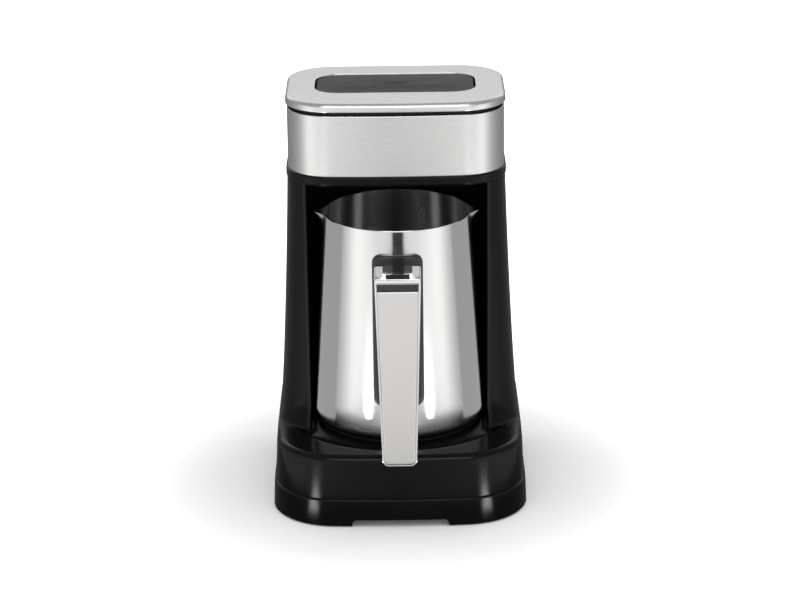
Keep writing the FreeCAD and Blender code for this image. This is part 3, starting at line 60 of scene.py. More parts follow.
BASE_HALF_WIDTH = 70.5
BASE_FRONT_Y = -71.9
BASE_FRONT_CORNER = 36.0
BASE_HEIGHT = 39.2
BASE_SIDE_LEAN = 1.4
BASE_FRONT_LEAN = 5.4
STEP_Z = 15.5
STEP_PROUD = 0.9
LIP_RADIUS = 3.0
SKIRT_CLEAR = 0.5
SHELL_WALL = 2.4
DISH_DEPTH = 2.8
DISH_FLAT_RADIUS = 53.0
DISH_RADIUS = 66.0
DECK_THICKNESS = 2.4
NOTCH_HALF_WIDTH = 26.5
NOTCH_HEIGHT = 3.5
NOTCH_CORNER = 2.8

TOWER_TOP_Z = 177.0
TOWER_TOP_HALF_WIDTH = 60.5
TOWER_FOOT_HALF_WIDTH = 67.1
TOWER_CURVE_SHARE = 0.36
TOWER_FRONT_FLARE = 11.0
FRONT_FLARE_POWER = 12
FOOT_BLEND = 3.0
FOOT_TUCK = 0.6
BAY_RADIUS = 50.0
LINER_WALL = 2.0

HEAD = Outline(59.9, HEAD_FRONT_Y, BACK_Y, BODY_CORNER, BODY_CORNER)
RING_TOP_Z = 182.5
RING_PROUD = 1.1
RING_WIDTH = 8.0
BAND_TOP_Z = 216.7
BAND_WALL = 0.8
GAP_TOP_Z = 218.9
SHADOW_INSET = 1.8
GASKET_WIDTH = 4.1
CAP_TOP_Z = 223.7
CAP_OVERHANG = 0.8
CAP_WALL = 1.2
CAP_EDGE_RADIUS = 2.6

PANEL_HALF_WIDTH = 43.7
PANEL_DEPTH = 41.4
PANEL_Y = 32.9
PANEL_CORNER = 13.0
PANEL_TOP_Z = 223.2
PANEL_THICKNESS = 2.5
PANEL_GAP = 0.9
MARK_HALF_LENGTH = 7.0
MARK_HALF_WIDTH = 1.8

HOTPLATE_RADIUS = 41.2
HOTPLATE_HOLE = 6.2
HOTPLATE_TOP_Z = 37.5
HOTPLATE_UNDER_Z = 33.5

POT_Z = 37.8
DISC_RADIUS = 40.8
DISC_TOP_Z = 40.6
POT_EDGE_Z = 38.3
RIM_Z = 157.3
POT_BOTTOM_RADIUS = 47.4
POT_RIM_RADIUS = 41.1
POT_WALL = 0.9
POT_EDGE_RADIUS = 4.6
BEAK_REACH = 5.8
BEAK_DEPTH = 9.0
BEAK_SPREAD = 7.5

PLATE_HALF_WIDTH = 13.9
PLATE_TOP_Z = 144.2
PLATE_HEIGHT = 85.7
PLATE_PROUD = 3.0
PLATE_CORNER = 4.5
GRIP_TOP_Y = -61.6
GRIP_TOP_Z = 139.0
GRIP_SLANT = math.radians(8.3)
GRIP_LENGTH = 102.6
GRIP_TOP_WIDTH = 25.2
GRIP_END_WIDTH = 18.7
GRIP_END_CORNER = 3.5
GRIP_THICKNESS = 9.0
TRIM_DEPTH = 5.5
FACE_THICKNESS = 1.5
FACE_MARGIN = 1.1
TOP_BAR_HEIGHT = 2.5
SLOT_HEIGHT = 4.0
BRIDGE_HEIGHT = 9.0
BRIDGE_COVER = 1.6
BRIDGE_HALF_WIDTH = 11.4
FACE_FIT = 0.12

SCREW_HEAD_HEIGHT = 1.8
AXIS_HOLE = 0.01
BUMP_HEIGHT = 0.05


# Finishes

def linear(code):
    shares = [int(code[i:i + 2], 16) / 255 for i in (1, 3, 5)]
    return [s / 12.92 if s <= 0.04045 else ((s + 0.055) / 1.055) ** 2.4 for s in shares]


def shaded(code, factor):
    return [c * factor for c in linear(code)] + [1.0]


def add_node(tree, kind, links=(), inputs=(), **settings):
    node = tree.nodes.new(kind)
    for name, value in settings.items():
        setattr(node, name, value)
    for name, value in inputs:
        node.inputs[name].default_value = value
    for name, source in links:
        tree.links.new(source, node.inputs[name])
    return node


def new_material(name):
    material = bpy.data.materials.new(name)
    material.use_nodes = True
    material.node_tree.nodes.clear()
    return material, material.node_tree


def grain(tree, source, width_mm, stretch, detail=3.0):
    # Width of one grain, and how many times longer it is along each axis
    place = add_node(tree, "ShaderNodeTexCoord").outputs[source]
    scale = [1 / (width_mm * MM * s) for s in stretch]
    mapped = add_node(tree, "ShaderNodeMapping", [("Vector", place)], [("Scale", scale)])
    return add_node(tree, "ShaderNodeTexNoise", [("Vector", mapped.outputs[0])],
                    [("Scale", 1.0), ("Detail", detail)]).outputs["Fac"]


def ranged(tree, source, low, high):
    return add_node(tree, "ShaderNodeMapRange", [("Value", source)],
                    [("From Min", 0.3), ("From Max", 0.7), ("To Min", low), ("To Max", high)]).outputs[0]


def toned(tree, source, colour, dark, light):
    mix = add_node(tree, "ShaderNodeMix", [("Factor", source)], data_type="RGBA")
    mix.inputs[6].default_value = shaded(colour, dark)
    mix.inputs[7].default_value = shaded(colour, light)
    return mix.outputs[2]


def surface(tree, colour, roughness, height, bump, inputs):
    # The bump's height is a twentieth of a millimetre, so that it breaks up highlights without dents
    relief = add_node(tree, "ShaderNodeBump", [("Height", height)],
                      [("Strength", bump), ("Distance", BUMP_HEIGHT * MM)])
    links = [("Base Color", colour), ("Roughness", roughness), ("Normal", relief.outputs[0])]
    shader = add_node(tree, "ShaderNodeBsdfPrincipled", links, inputs)
    add_node(tree, "ShaderNodeOutputMaterial", [("Surface", shader.outputs[0])])
    return shader


def moulded(name, colour, roughness, grain_mm, bump, shine=0.5):
    # Injection-moulded plastic: even colour, the mould's fine texture, and faint flow marks in its gloss
    material, tree = new_material(name)
    flow = grain(tree, "Object", 38.0, (1, 1, 2), 2.0)
    texture = grain(tree, "Object", grain_mm, (1, 1, 1))
    surface(tree, toned(tree, flow, colour, 0.9, 1.1), ranged(tree, flow, roughness * 0.88, roughness * 1.14),
            texture, bump, [("Specular IOR Level", shine)])
    return material


def metal(name, colour, roughness, grain_mm, bump, stretch=(1, 1, 1), anisotropy=0.0):
    # Worked metal: fine scratches along the grain, which widen each highlight across them
    material, tree = new_material(name)
    source = "UV" if anisotropy else "Object"
    lines = grain(tree, source, grain_mm, stretch, 4.0)
    patches = grain(tree, source, 26.0, (1, 1, 1), 2.0)
    across_grain = 0.25
    inputs = [("Metallic", 1.0), ("Anisotropic", anisotropy), ("Anisotropic Rotation", across_grain)]
    shader = surface(tree, toned(tree, patches, colour, 0.96, 1.0),
                     ranged(tree, lines, roughness * 0.85, roughness * 1.2), lines, bump, inputs)
    if anisotropy:
        along = add_node(tree, "ShaderNodeTangent", direction_type="UV_MAP", uv_map="grain")
        tree.links.new(along.outputs[0], shader.inputs["Tangent"])
    return material


def clear(name, colour, roughness):
    # Clear moulding: glassy, with a slight tint and a faint haze
    material, tree = new_material(name)
    haze = grain(tree, "Object", 3.0, (1, 1, 1))
    surface(tree, toned(tree, haze, colour, 0.97, 1.0), ranged(tree, haze, roughness * 0.7, roughness * 1.4),
            haze, 0.02, [("Transmission Weight", 0.85), ("IOR", 1.58)])
    return material


def turned(name, colour, roughness):
    # Cast plate with a turned face: fine rings around its middle under a dark non-stick coat
    material, tree = new_material(name)
    place = add_node(tree, "ShaderNodeTexCoord").outputs["Object"]
    centre = add_node(tree, "ShaderNodeMapping", [("Vector", place)], [("Location", (0.0, -POT_Y * MM, 0.0))])
    rings = add_node(tree, "ShaderNodeTexWave", [("Vector", centre.outputs[0])],
                     [("Scale", 160.0), ("Distortion", 0.0)], wave_type="RINGS", rings_direction="Z")
    speckle = grain(tree, "Object", 1.4, (1, 1, 1))
    surface(tree, toned(tree, speckle, colour, 0.85, 1.1),
            ranged(tree, speckle, roughness * 0.85, roughness * 1.15),
            rings.outputs["Fac"], 0.3, [("Metallic", 0.9)])
    return material


ALONG = (40, 1, 1)
FINISHES = {
    # Glossy ABS: near black, mirror-like, with very faint ripples from the mould
    "gloss_black_abs": moulded("gloss_abs_black", "#0b0b0c", 0.18, 5.0, 0.02, 0.16),
    # Textured polypropylene: black, its fine spark-eroded grain spreads every highlight
    "satin_black_plastic": moulded("textured_polypropylene_black", "#151516", 0.4, 0.7, 0.3, 0.2),
    # Smoked acrylic: dark grey with a clear gloss over it
    "smoked_panel": moulded("smoked_acrylic", "#27282a", 0.3, 6.0, 0.02, 0.07),
    # Glass-filled nylon: charcoal and slightly dull
    "plate_plastic": moulded("glass_filled_nylon", "#2a2a2b", 0.22, 0.8, 0.1, 0.5),
    # Moulded rubber: soft black with a dry bloom
    "feet_rubber": moulded("moulded_rubber", "#1b1b1b", 0.72, 0.9, 0.4, 0.3),
    # Silicone: smooth black with a waxy sheen
    "seal_silicone": moulded("silicone_rubber", "#1a1b1d", 0.5, 1.6, 0.15, 0.4),
    # Fibreglass board under green lacquer
    "board_green": moulded("lacquered_fibreglass_board", "#1f6b3a", 0.35, 1.2, 0.3),
    # Epoxy-moulded component cases, matt black
    "component_black": moulded("epoxy_moulding", "#191919", 0.5, 0.5, 0.2),
    # Blue relay case, semi-gloss
    "relay_blue": moulded("relay_case_plastic", "#235a9c", 0.35, 1.5, 0.1),
    # Film capacitor case, ochre yellow
    "capacitor_yellow": moulded("film_capacitor_case", "#c89b2d", 0.4, 1.5, 0.1),
    # Terminal strip in off-white nylon
    "terminal_white": moulded("terminal_nylon", "#d8d6cd", 0.45, 1.0, 0.15),
    # Brick-red silicone sleeving
    "lead_sleeve": moulded("silicone_lead_sleeve", "#8d3226", 0.45, 1.2, 0.15),
    # Pressed ceramic body, chalky
    "thermostat_ceramic": moulded("pressed_ceramic", "#c9c1b2", 0.6, 0.8, 0.3),
    # Stainless sheet brushed along the band: pale grey, highlights spread upwards and downwards
    "brushed_stainless": metal("brushed_stainless_steel", "#dfdfde", 0.29, 0.3, 0.05, ALONG, 0.7),
    # Drawn stainless steel with a satin polish around the pot
    "pot_stainless": metal("satin_stainless_steel", "#e0e0df", 0.2, 0.3, 0.01, ALONG, 0.6),
    # Chrome plating over plastic: sharp reflections
    "chrome_plate": metal("bright_chrome_plate", "#e0e1e3", 0.09, 3.0, 0.02),
    # Satin anodised aluminium: even warm silver
    "satin_silver": metal("satin_anodised_aluminium", "#dddbd9", 0.4, 0.4, 0.05),
    # Hotplate casting with its turned and coated face
    "cast_plate": turned("coated_cast_aluminium", "#5c5c5e", 0.42),
    # Steel tube tinted by heat
    "element_sheath": metal("heat_tinted_steel_tube", "#8a8379", 0.4, 0.8, 0.2),
    # Zinc-plated sheet with a soft spangle
    "sheet_steel": metal("zinc_plated_sheet", "#b9bcc0", 0.35, 2.5, 0.2),
    # Zinc-plated screws
    "screw_steel": metal("zinc_plated_screw", "#c3c4c6", 0.3, 0.6, 0.2),
    # Drawn spring steel
    "spring_steel": metal("drawn_spring_steel", "#a9aaac", 0.3, 0.4, 0.1),
    # Clear window in the head's underside
    "clear_window": clear("clear_polycarbonate", "#e6ebee", 0.08),
    # Warm white lens of the light
    "led_lens": clear("lens_epoxy", "#f3ead8", 0.12),
}


# Meshes built from rows of points, in millimetres

def link(name, mesh):
    piece = bpy.data.objects.new(name, mesh)
    bpy.context.scene.collection.objects.link(piece)
    return piece


def row_faces(rows, ring_of_rows):
    width = len(rows[0])
    faces = []
    for r in range(len(rows) if ring_of_rows else len(rows) - 1):
        low = r * width
        high = ((r + 1) % len(rows)) * width
        faces += [(low + i, low + (i + 1) % width, high + (i + 1) % width, high + i) for i in range(width)]
    return faces


def rows_mesh(name, rows, ring_of_rows=False, caps=False):
    width = len(rows[0])
    faces = row_faces(rows, ring_of_rows)
    if caps:
        last = (len(rows) - 1) * width
        faces += [tuple(range(width))[::-1], tuple(range(last, last + width))]
    mesh = bpy.data.meshes.new(name)
    mesh.from_pydata([Vector(p) * MM for row in rows for p in row], [], faces)
    clean(mesh)
    return mesh


def clean(mesh):
    made = bmesh.new()
    made.from_mesh(mesh)
    bmesh.ops.remove_doubles(made, verts=made.verts, dist=1e-7)
    bmesh.ops.recalc_face_normals(made, faces=made.faces)
    made.to_mesh(mesh)
    made.free()


def finished(piece, slot_name, body, *replaced, sharp=32.0):
    piece.data.materials.clear()
    piece.data.materials.append(FINISHES[slot_name])
    piece.data.shade_smooth()
    piece.data.set_sharp_from_angle(angle=math.radians(sharp))
    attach(piece, body)
    if replaced:
        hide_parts(*replaced)
    return piece


def solid(name, rows, slot_name, body, *replaced, ring_of_rows=False, caps=False, sharp=32.0):
    piece = link(name, rows_mesh(name, rows, ring_of_rows, caps))
    return finished(piece, slot_name, body, *replaced, sharp=sharp)


def subtract(piece, cutter):
    modifier = piece.modifiers.new("cut", "BOOLEAN")
    modifier.solver = "EXACT"
    modifier.object = cutter
    bpy.context.view_layer.update()
    made = bpy.data.meshes.new_from_object(piece.evaluated_get(bpy.context.evaluated_depsgraph_get()))
    piece.modifiers.clear()
    piece.data = made
    bpy.data.objects.remove(cutter)
    clean(made)


def prism_along_y(name, outline, y0, y1):
    return link(name, rows_mesh(name, [[(x, y, z) for x, z in outline] for y in (y0, y1)], caps=True))


def filleted(points, radii, steps=6, hold=0.35):
    """A path with round corners; a point near the end of each bend keeps the flat beside it flat."""
    path = [Vector(points[0])]
    for i, radius in enumerate(radii, start=1):
        here = Vector(points[i])
        before = Vector(points[i - 1]) - here
        after = Vector(points[i + 1]) - here
        half = before.angle(after) / 2
        trim = min(radius / math.tan(half), before.length * 0.49, after.length * 0.49)
        radius = trim * math.tan(half)
        start = here + before.normalized() * trim
        end = here + after.normalized() * trim
        centre = here + (before.normalized() + after.normalized()).normalized() * (radius / math.sin(half))
        if before.length > 2.5 * trim + hold:
            path.append(start + before.normalized() * hold)
        arm, far = start - centre, end - centre
        turn = math.copysign(math.pi - 2 * half, arm.x * far.y - arm.y * far.x)
        for k in range(steps + 1):
            cosine, sine = math.cos(turn * k / steps), math.sin(turn * k / steps)
            path.append(centre + Vector((arm.x * cosine - arm.y * sine, arm.x * sine + arm.y * cosine)))
        if after.length > 2.5 * trim + hold:
            path.append(end + after.normalized() * hold)
    return path + [Vector(points[-1])]


def rectangle(half, start, end):
    """The corners of a closed rectangle that starts in the middle of one side."""
    return [(0.0, start), (half, start), (half, end), (-half, end), (-half, start), (0.0, start)]


# Plan outlines: a bowed front, round corners, straight sides and back

def grown(outline, by):
    return Outline(outline.half + by, outline.front - by, outline.back + by,
                   outline.front_radius + by, outline.back_radius + by)


def arc(centre_x, centre_y, radius, start, end, steps):
    """Points on an arc, without its first. Zero degrees is straight ahead at -Y, and 90 is +X."""
    angles = [math.radians(start + (end - start) * k / steps) for k in range(1, steps + 1)]
    return [(centre_x + radius * math.sin(a), centre_y - radius * math.cos(a)) for a in angles]


def front_corner(outline):
    """The centre of the front corner on the right, and the angle at which the bow runs into it."""
    bow = BOW_RADIUS + outline.front_radius - BODY_CORNER
    x = outline.half - outline.front_radius
    y = outline.front + bow - math.sqrt((bow - outline.front_radius) ** 2 - x ** 2)
    return x, y, math.degrees(math.atan2(x, outline.front + bow - y)), bow


def plan_points(outline):
    x, y, lean, bow = front_corner(outline)
    side_end = outline.back - outline.back_radius
    right = [(0.0, outline.front)]
    right += arc(0.0, outline.front + bow, bow, 0.0, lean, 14)
    right += arc(x, y, outline.front_radius, lean, 90.0, 22)
    right += [(outline.half, y + (side_end - y) * k / 16) for k in range(1, 17)]
    right += arc(outline.half - outline.back_radius, side_end, outline.back_radius, 90.0, 180.0, 18)
    right += [((outline.half - outline.back_radius) * (1 - k / 8), outline.back) for k in range(1, 9)]
    return right + [(-x, y) for x, y in reversed(right[1:-1])]


def at_height(points, z):
    return [(x, y, z) for x, y in points]


def profile_rows(outline, profile):
    return [at_height(plan_points(grown(outline, -inset)), z) for inset, z in profile]


def base_outline(z, proud):
    share = z / BASE_HEIGHT
    half = BASE_HALF_WIDTH - BASE_SIDE_LEAN * share - STEP_PROUD + proud
    front = BASE_FRONT_Y + BASE_FRONT_LEAN * share + STEP_PROUD - proud
    return Outline(half, front, BACK_Y + proud, BASE_FRONT_CORNER, BODY_CORNER)


def tower_outline(z):
    left = min(1.0, (TOWER_TOP_Z - z) / (TOWER_TOP_Z - BASE_HEIGHT))
    widening = (1.0 - TOWER_CURVE_SHARE) * left + TOWER_CURVE_SHARE * left ** 2
    half = TOWER_TOP_HALF_WIDTH + (TOWER_FOOT_HALF_WIDTH - TOWER_TOP_HALF_WIDTH) * widening
    over = min(1.0, max(0.0, (z - BASE_HEIGHT) / FOOT_BLEND))
    blend = FOOT_BLEND * (1.0 - math.sqrt(1.0 - (1.0 - over) ** 2))
    front = HEAD_FRONT_Y - TOWER_FRONT_FLARE * left ** FRONT_FLARE_POWER - blend
    return Outline(half, front, BACK_Y, BODY_CORNER, BODY_CORNER)


# Base

def dish_height(radius):
    deep = BASE_HEIGHT - DISH_DEPTH
    run = DISH_RADIUS - DISH_FLAT_RADIUS
    bend = (run ** 2 + DISH_DEPTH ** 2) / (2 * DISH_DEPTH)
    out = min(run, max(0.0, radius - DISH_FLAT_RADIUS))
    return deep + bend - math.sqrt(bend ** 2 - out ** 2)


def lip_row(turn):
    """One row over the base's upper edge, which is round in front of the columns and nearly sharp behind."""
    seat = tower_outline(BASE_HEIGHT).front
    row = []
    for i, (x, y) in enumerate(plan_points(base_outline(BASE_HEIGHT, 0.0))):
        share = min(1.0, max(0.0, (seat + 14.0 - y) / 12.0))
        radius = 0.25 + (LIP_RADIUS - 0.25) * share * share * (3 - 2 * share)
        z = BASE_HEIGHT - radius * (1 - math.sin(turn))
        inner = grown(base_outline(z, 0.0), -radius * (1 - math.cos(turn)))
        row.append(plan_points(inner)[i] + (z,))
    return row


def deck_row(lip, share):
    hole = HOTPLATE_RADIUS + 2.0
    row = []
    for x, y, z in lip:
        angle = math.atan2(y - POT_Y, x)
        x += (hole * math.cos(angle) - x) * share
        y += (POT_Y + hole * math.sin(angle) - y) * share
        row.append((x, y, dish_height(math.hypot(x, y - POT_Y))))
    return row


def base_shell():
    ceiling = BASE_HEIGHT - DISH_DEPTH - DECK_THICKNESS
    inside = [(SHELL_WALL, ceiling), (SHELL_WALL, SKIRT_CLEAR + 0.4), (SHELL_WALL - 0.3, SKIRT_CLEAR)]
    rows = [at_height(plan_points(grown(base_outline(z, 0.0), -inset)), z) for inset, z in inside]
    for inset, z in ((0.6, SKIRT_CLEAR), (0.0, SKIRT_CLEAR + 0.6), (0.0, STEP_Z - STEP_PROUD - 0.3)):
        rows.append(at_height(plan_points(grown(base_outline(z, STEP_PROUD), -inset)), z))
    for k in range(7):
        turn = math.pi / 2 * k / 6
        z = STEP_Z - STEP_PROUD * (1 - math.sin(turn))
        rows.append(at_height(plan_points(base_outline(z, STEP_PROUD * math.cos(turn))), z))
    for z in (STEP_Z + 0.4, BASE_HEIGHT - LIP_RADIUS - 6.0, BASE_HEIGHT - LIP_RADIUS - 0.4):
        rows.append(at_height(plan_points(base_outline(z, 0.0)), z))
    rows += [lip_row(math.pi / 2 * k / 8) for k in range(9)]
    lip = rows[-1]
    rows += [deck_row(lip, k / 40) for k in range(1, 41)]
    rows.append([(x, y, ceiling) for x, y, z in rows[-1]])
    name = "base_skirt_and_deck"
    piece = link(name, rows_mesh(name, rows, ring_of_rows=True))
    low, high = SKIRT_CLEAR - 9.0, SKIRT_CLEAR + NOTCH_HEIGHT
    outline = filleted([(-NOTCH_HALF_WIDTH, low), (-NOTCH_HALF_WIDTH, high), (NOTCH_HALF_WIDTH, high),
                        (NOTCH_HALF_WIDTH, low)], (NOTCH_CORNER, NOTCH_CORNER), 8)
    subtract(piece, prism_along_y("notch_cutter", outline, BASE_FRONT_Y - 9.0, BASE_FRONT_Y + 9.0))
    finished(piece, "gloss_black_abs", "machine", "base_shell")


def hotplate():
    top, low = HOTPLATE_TOP_Z, HOTPLATE_UNDER_Z
    path = filleted([(HOTPLATE_HOLE, low + 1.0), (HOTPLATE_HOLE, top), (HOTPLATE_RADIUS, top),
                     (HOTPLATE_RADIUS, low), (HOTPLATE_HOLE, low), (HOTPLATE_HOLE, low + 0.9)],
                    (0.6, 0.5, 0.3, 0.3), 4)
    rows = [[(r * math.cos(a), POT_Y + r * math.sin(a), z) for a in circle(120)] for r, z in path[:-1]]
    solid("turned_hotplate", rows, "cast_plate", "machine", "hotplate", ring_of_rows=True)


def circle(steps):
    return [2 * math.pi * k / steps for k in range(steps)]


# Tower

def tower_levels():
    spread = [BASE_HEIGHT + (TOWER_TOP_Z - BASE_HEIGHT) * (k / 52) ** 2.2 for k in range(1, 53)]
    return [BASE_HEIGHT - DISH_DEPTH, BASE_HEIGHT - 0.01] + [z for z in spread if z > BASE_HEIGHT + 0.03]


def skin_path(z, inset):
    """Points of the tower's skin, from the right edge of the bay round the back to the left edge."""
    inset += FOOT_TUCK if z < BASE_HEIGHT else 0.0
    outline = grown(tower_outline(z), -inset)
    x, y, lean, bow = front_corner(outline)
    start = math.degrees(math.asin((BAY_RADIUS + LINER_WALL - x) / outline.front_radius))
    side_end = outline.back - outline.back_radius
    path = [(BAY_RADIUS + LINER_WALL, y - outline.front_radius * math.cos(math.radians(start)))]
    path += arc(x, y, outline.front_radius, start, 90.0, 20)
    path += [(outline.half, y + (side_end - y) * k / 14) for k in range(1, 15)]
    path += arc(outline.half - outline.back_radius, side_end, outline.back_radius, 90.0, 180.0, 18)
    path += [((outline.half - outline.back_radius) * (1 - k / 8), outline.back) for k in range(1, 9)]
    return path + [(-x, y) for x, y in reversed(path[:-1])]


def tower_shell():
    rows = [at_height(skin_path(z, 0.0) + skin_path(z, SHELL_WALL)[::-1], z) for z in tower_levels()]
    name = "tower_skin"
    piece = link(name, rows_mesh(name, rows, caps=True))
    low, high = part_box("rear_cover")
    gap = 0.3
    half, bottom, top = high.x / MM + gap, low.z / MM - gap, high.z / MM + gap
    outline = [(-half, bottom), (half, bottom), (half, top), (-half, top)]
    subtract(piece, prism_along_y("rear_cutter", outline, BACK_Y - 9.0, BACK_Y + 9.0))
    finished(piece, "gloss_black_abs", "machine", "tower_shell")


def rear_cover():
    low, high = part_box("rear_cover")
    half, bottom, top = high.x / MM, low.z / MM, high.z / MM
    rows = []
    for inset, y in ((0.0, BACK_Y - SHELL_WALL), (0.0, BACK_Y - 0.7), (0.2, BACK_Y - 0.2), (0.7, BACK_Y),
                     (1.2, BACK_Y), (6.0, BACK_Y), (6.8, BACK_Y - 0.5), (7.6, BACK_Y - 0.5)):
        x, z0, z1 = half - inset, bottom + inset, top - inset
        outline = filleted(rectangle(x, z0, z1), (3.0,) * 4, 6, 0.2)
        rows.append([(x, y, z) for x, z in outline[:-1]])
    solid("rear_service_cover", rows, "satin_black_plastic", "machine", "rear_cover", caps=True)


def liner_path(z, radius):
    outline = tower_outline(z)
    x, y, lean, bow = front_corner(outline)
    front = y - math.sqrt(outline.front_radius ** 2 - (radius - x) ** 2) + 0.2
    path = [(radius, front + (POT_Y - front) * k / 8) for k in range(8)]
    quarter = [math.pi * k / 72 for k in range(37)]
    path += [(radius * math.cos(a), POT_Y + radius * math.sin(a)) for a in quarter]
    return path + [(-x, y) for x, y in reversed(path[:-1])]


def bay_liner():
    rows = [at_height(liner_path(z, BAY_RADIUS) + liner_path(z, BAY_RADIUS + LINER_WALL)[::-1], z)
            for z in tower_levels()]
    solid("bay_wall", rows, "satin_black_plastic", "machine", "bay_liner", caps=True)


# Head

def lay_grain(piece):
    """A map in metres whose U runs along the brushing: across the front, along the sides and the top."""
    layer = piece.data.uv_layers.new(name="grain")
    for polygon in piece.data.polygons:
        lying = abs(polygon.normal.z) > 0.8
        sideways = abs(polygon.normal.x) > abs(polygon.normal.y)
        for index in polygon.loop_indices:
            place = piece.data.vertices[piece.data.loops[index].vertex_index].co
            along = place.y if sideways and not lying else place.x
            layer.data[index].uv = (along, place.y if lying else place.z)


def steel_band():
    low, high = RING_TOP_Z, BAND_TOP_Z
    path = filleted([(BAND_WALL, low), (0.0, low), (0.0, high), (BAND_WALL, high)], (0.3, 0.35), 3)
    band = solid("steel_band_sleeve", profile_rows(HEAD, path), "brushed_stainless", "machine",
                 "steel_band", ring_of_rows=True)
    lay_grain(band)


def trim_ring():
    low, high = TOWER_TOP_Z, RING_TOP_Z
    path = filleted([(RING_WIDTH, low), (0.9, low), (0.0, low + 1.3), (0.0, high), (RING_WIDTH, high)],
                    (0.5, 1.0, 0.8), 5, 0.2)
    rows = profile_rows(grown(HEAD, RING_PROUD), path)
    solid("moulded_ring", rows, "gloss_black_abs", "machine", "trim_ring", ring_of_rows=True)


def lid_gasket():
    inner = SHADOW_INSET + GASKET_WIDTH
    path = [(inner, BAND_TOP_Z), (SHADOW_INSET, BAND_TOP_Z), (SHADOW_INSET, GAP_TOP_Z), (inner, GAP_TOP_Z)]
    rows = profile_rows(HEAD, path)
    solid("shadow_gap_gasket", rows, "satin_black_plastic", "machine", "lid_gasket", ring_of_rows=True)


def panel_points(grow):
    x, y, radius = PANEL_HALF_WIDTH - PANEL_CORNER, PANEL_DEPTH / 2 - PANEL_CORNER, PANEL_CORNER + grow
    points = []
    for centre_x, centre_y, start in ((x, -y, 0), (x, y, 90), (-x, y, 180), (-x, -y, 270)):
        points += arc(centre_x, PANEL_Y + centre_y, radius, start - 6, start + 90, 16)
    return points


def crossing(angle, shape):
    """Where the ray at this angle from the middle of the panel leaves a closed shape around it."""
    ray = Vector((math.cos(angle), math.sin(angle)))
    middle = Vector((0.0, PANEL_Y))
    found = None
    for i, corner in enumerate(shape):
        start = Vector(corner) - middle
        edge = Vector(shape[(i + 1) % len(shape)]) - Vector(corner)
        area = ray.x * edge.y - ray.y * edge.x
        if abs(area) < 1e-12:
            continue
        reach = (start.x * edge.y - start.y * edge.x) / area
        along = (start.x * ray.y - start.y * ray.x) / area
        if reach > 0 and -1e-6 <= along <= 1 + 1e-6:
            found = reach if found is None else min(found, reach)
    return middle + ray * found


def top_cap():
    under = CAP_TOP_Z - CAP_WALL
    path = filleted([(1.3, under), (1.3, GAP_TOP_Z), (0.0, GAP_TOP_Z), (0.0, CAP_TOP_Z), (9.0, CAP_TOP_Z)],
                    (0.2, 0.5, CAP_EDGE_RADIUS), 7, 0.4)
    rows = profile_rows(grown(HEAD, CAP_OVERHANG), path)
    angles = [math.atan2(y - PANEL_Y, x) for x, y, z in rows[-1]]
    opening = ((1.4, CAP_TOP_Z), (0.5, CAP_TOP_Z), (0.12, CAP_TOP_Z - 0.15), (0.0, CAP_TOP_Z - 0.5),
               (0.0, under))
    for grow, z in opening:
        shape = panel_points(PANEL_GAP + grow)
        rows.append(at_height([crossing(angle, shape) for angle in angles], z))
    lay_grain(solid("steel_top_cap", rows, "brushed_stainless", "machine", "top_cap", ring_of_rows=True))


def top_panel():
    under = PANEL_TOP_Z - PANEL_THICKNESS
    edge = [(-1.0, under), (-0.2, under), (0.0, under + 0.3), (0.0, PANEL_TOP_Z - 0.7),
            (-0.12, PANEL_TOP_Z - 0.3), (-0.35, PANEL_TOP_Z - 0.08), (-0.7, PANEL_TOP_Z), (-1.2, PANEL_TOP_Z)]
    rows = [at_height(panel_points(grow), z) for grow, z in edge]
    angles = [math.atan2(y - PANEL_Y, x) for x, y, z in rows[-1]]
    for grow, z in ((0.25, PANEL_TOP_Z), (0.0, PANEL_TOP_Z - 0.08), (-0.25, PANEL_TOP_Z - 0.2)):
        long, wide = MARK_HALF_LENGTH + grow, MARK_HALF_WIDTH + grow
        shape = [(long * math.cos(a), PANEL_Y + wide * math.sin(a)) for a in circle(96)]
        rows.append(at_height([crossing(angle, shape) for angle in angles], z))
    solid("button_panel", rows, "smoked_panel", "button", "top_panel", caps=True)


# Pot

def pot_radius(z):
    return POT_BOTTOM_RADIUS + (POT_RIM_RADIUS - POT_BOTTOM_RADIUS) * (z - POT_Z) / (RIM_Z - POT_Z)


def beak_reach(angle, z):
    share = max(0.0, (z - RIM_Z + BEAK_DEPTH) / BEAK_DEPTH)
    off = math.degrees(math.asin(abs(math.sin(angle))))
    return BEAK_REACH * min(1.0, share) ** 1.6 * math.exp(-(off / BEAK_SPREAD) ** 2)


def pot_profile():
    seat, low, rim = DISC_TOP_Z, POT_EDGE_Z, RIM_Z
    outside = filleted([(DISC_RADIUS, seat), (DISC_RADIUS, low), (pot_radius(low), low),
                        (pot_radius(low + 40.0), low + 40.0)], (0.3, POT_EDGE_RADIUS), 10)
    start = rim - BEAK_DEPTH
    outside += [(pot_radius(z), z) for z in [low + 40 + (start - low - 40) * k / 6 for k in range(1, 7)]]
    outside += [(pot_radius(z), z) for z in [start + BEAK_DEPTH * k / 10 for k in range(1, 10)]]
    inside = [(r - POT_WALL, z) for r, z in reversed(outside[-16:])]
    edge = pot_radius(rim)
    rim_bead = [(edge + 0.02, rim - 0.4), (edge - 0.12, rim - 0.1), (edge - POT_WALL / 2, rim),
                (edge - POT_WALL + 0.12, rim - 0.1), (edge - POT_WALL - 0.02, rim - 0.4)]
    floor = seat + POT_WALL
    bottom = filleted([inside[-1], (pot_radius(floor) - POT_WALL, floor), (2.0, floor)], (4.0,), 10)
    return [tuple(p) for p in outside] + rim_bead + inside + [tuple(p) for p in bottom[1:]]


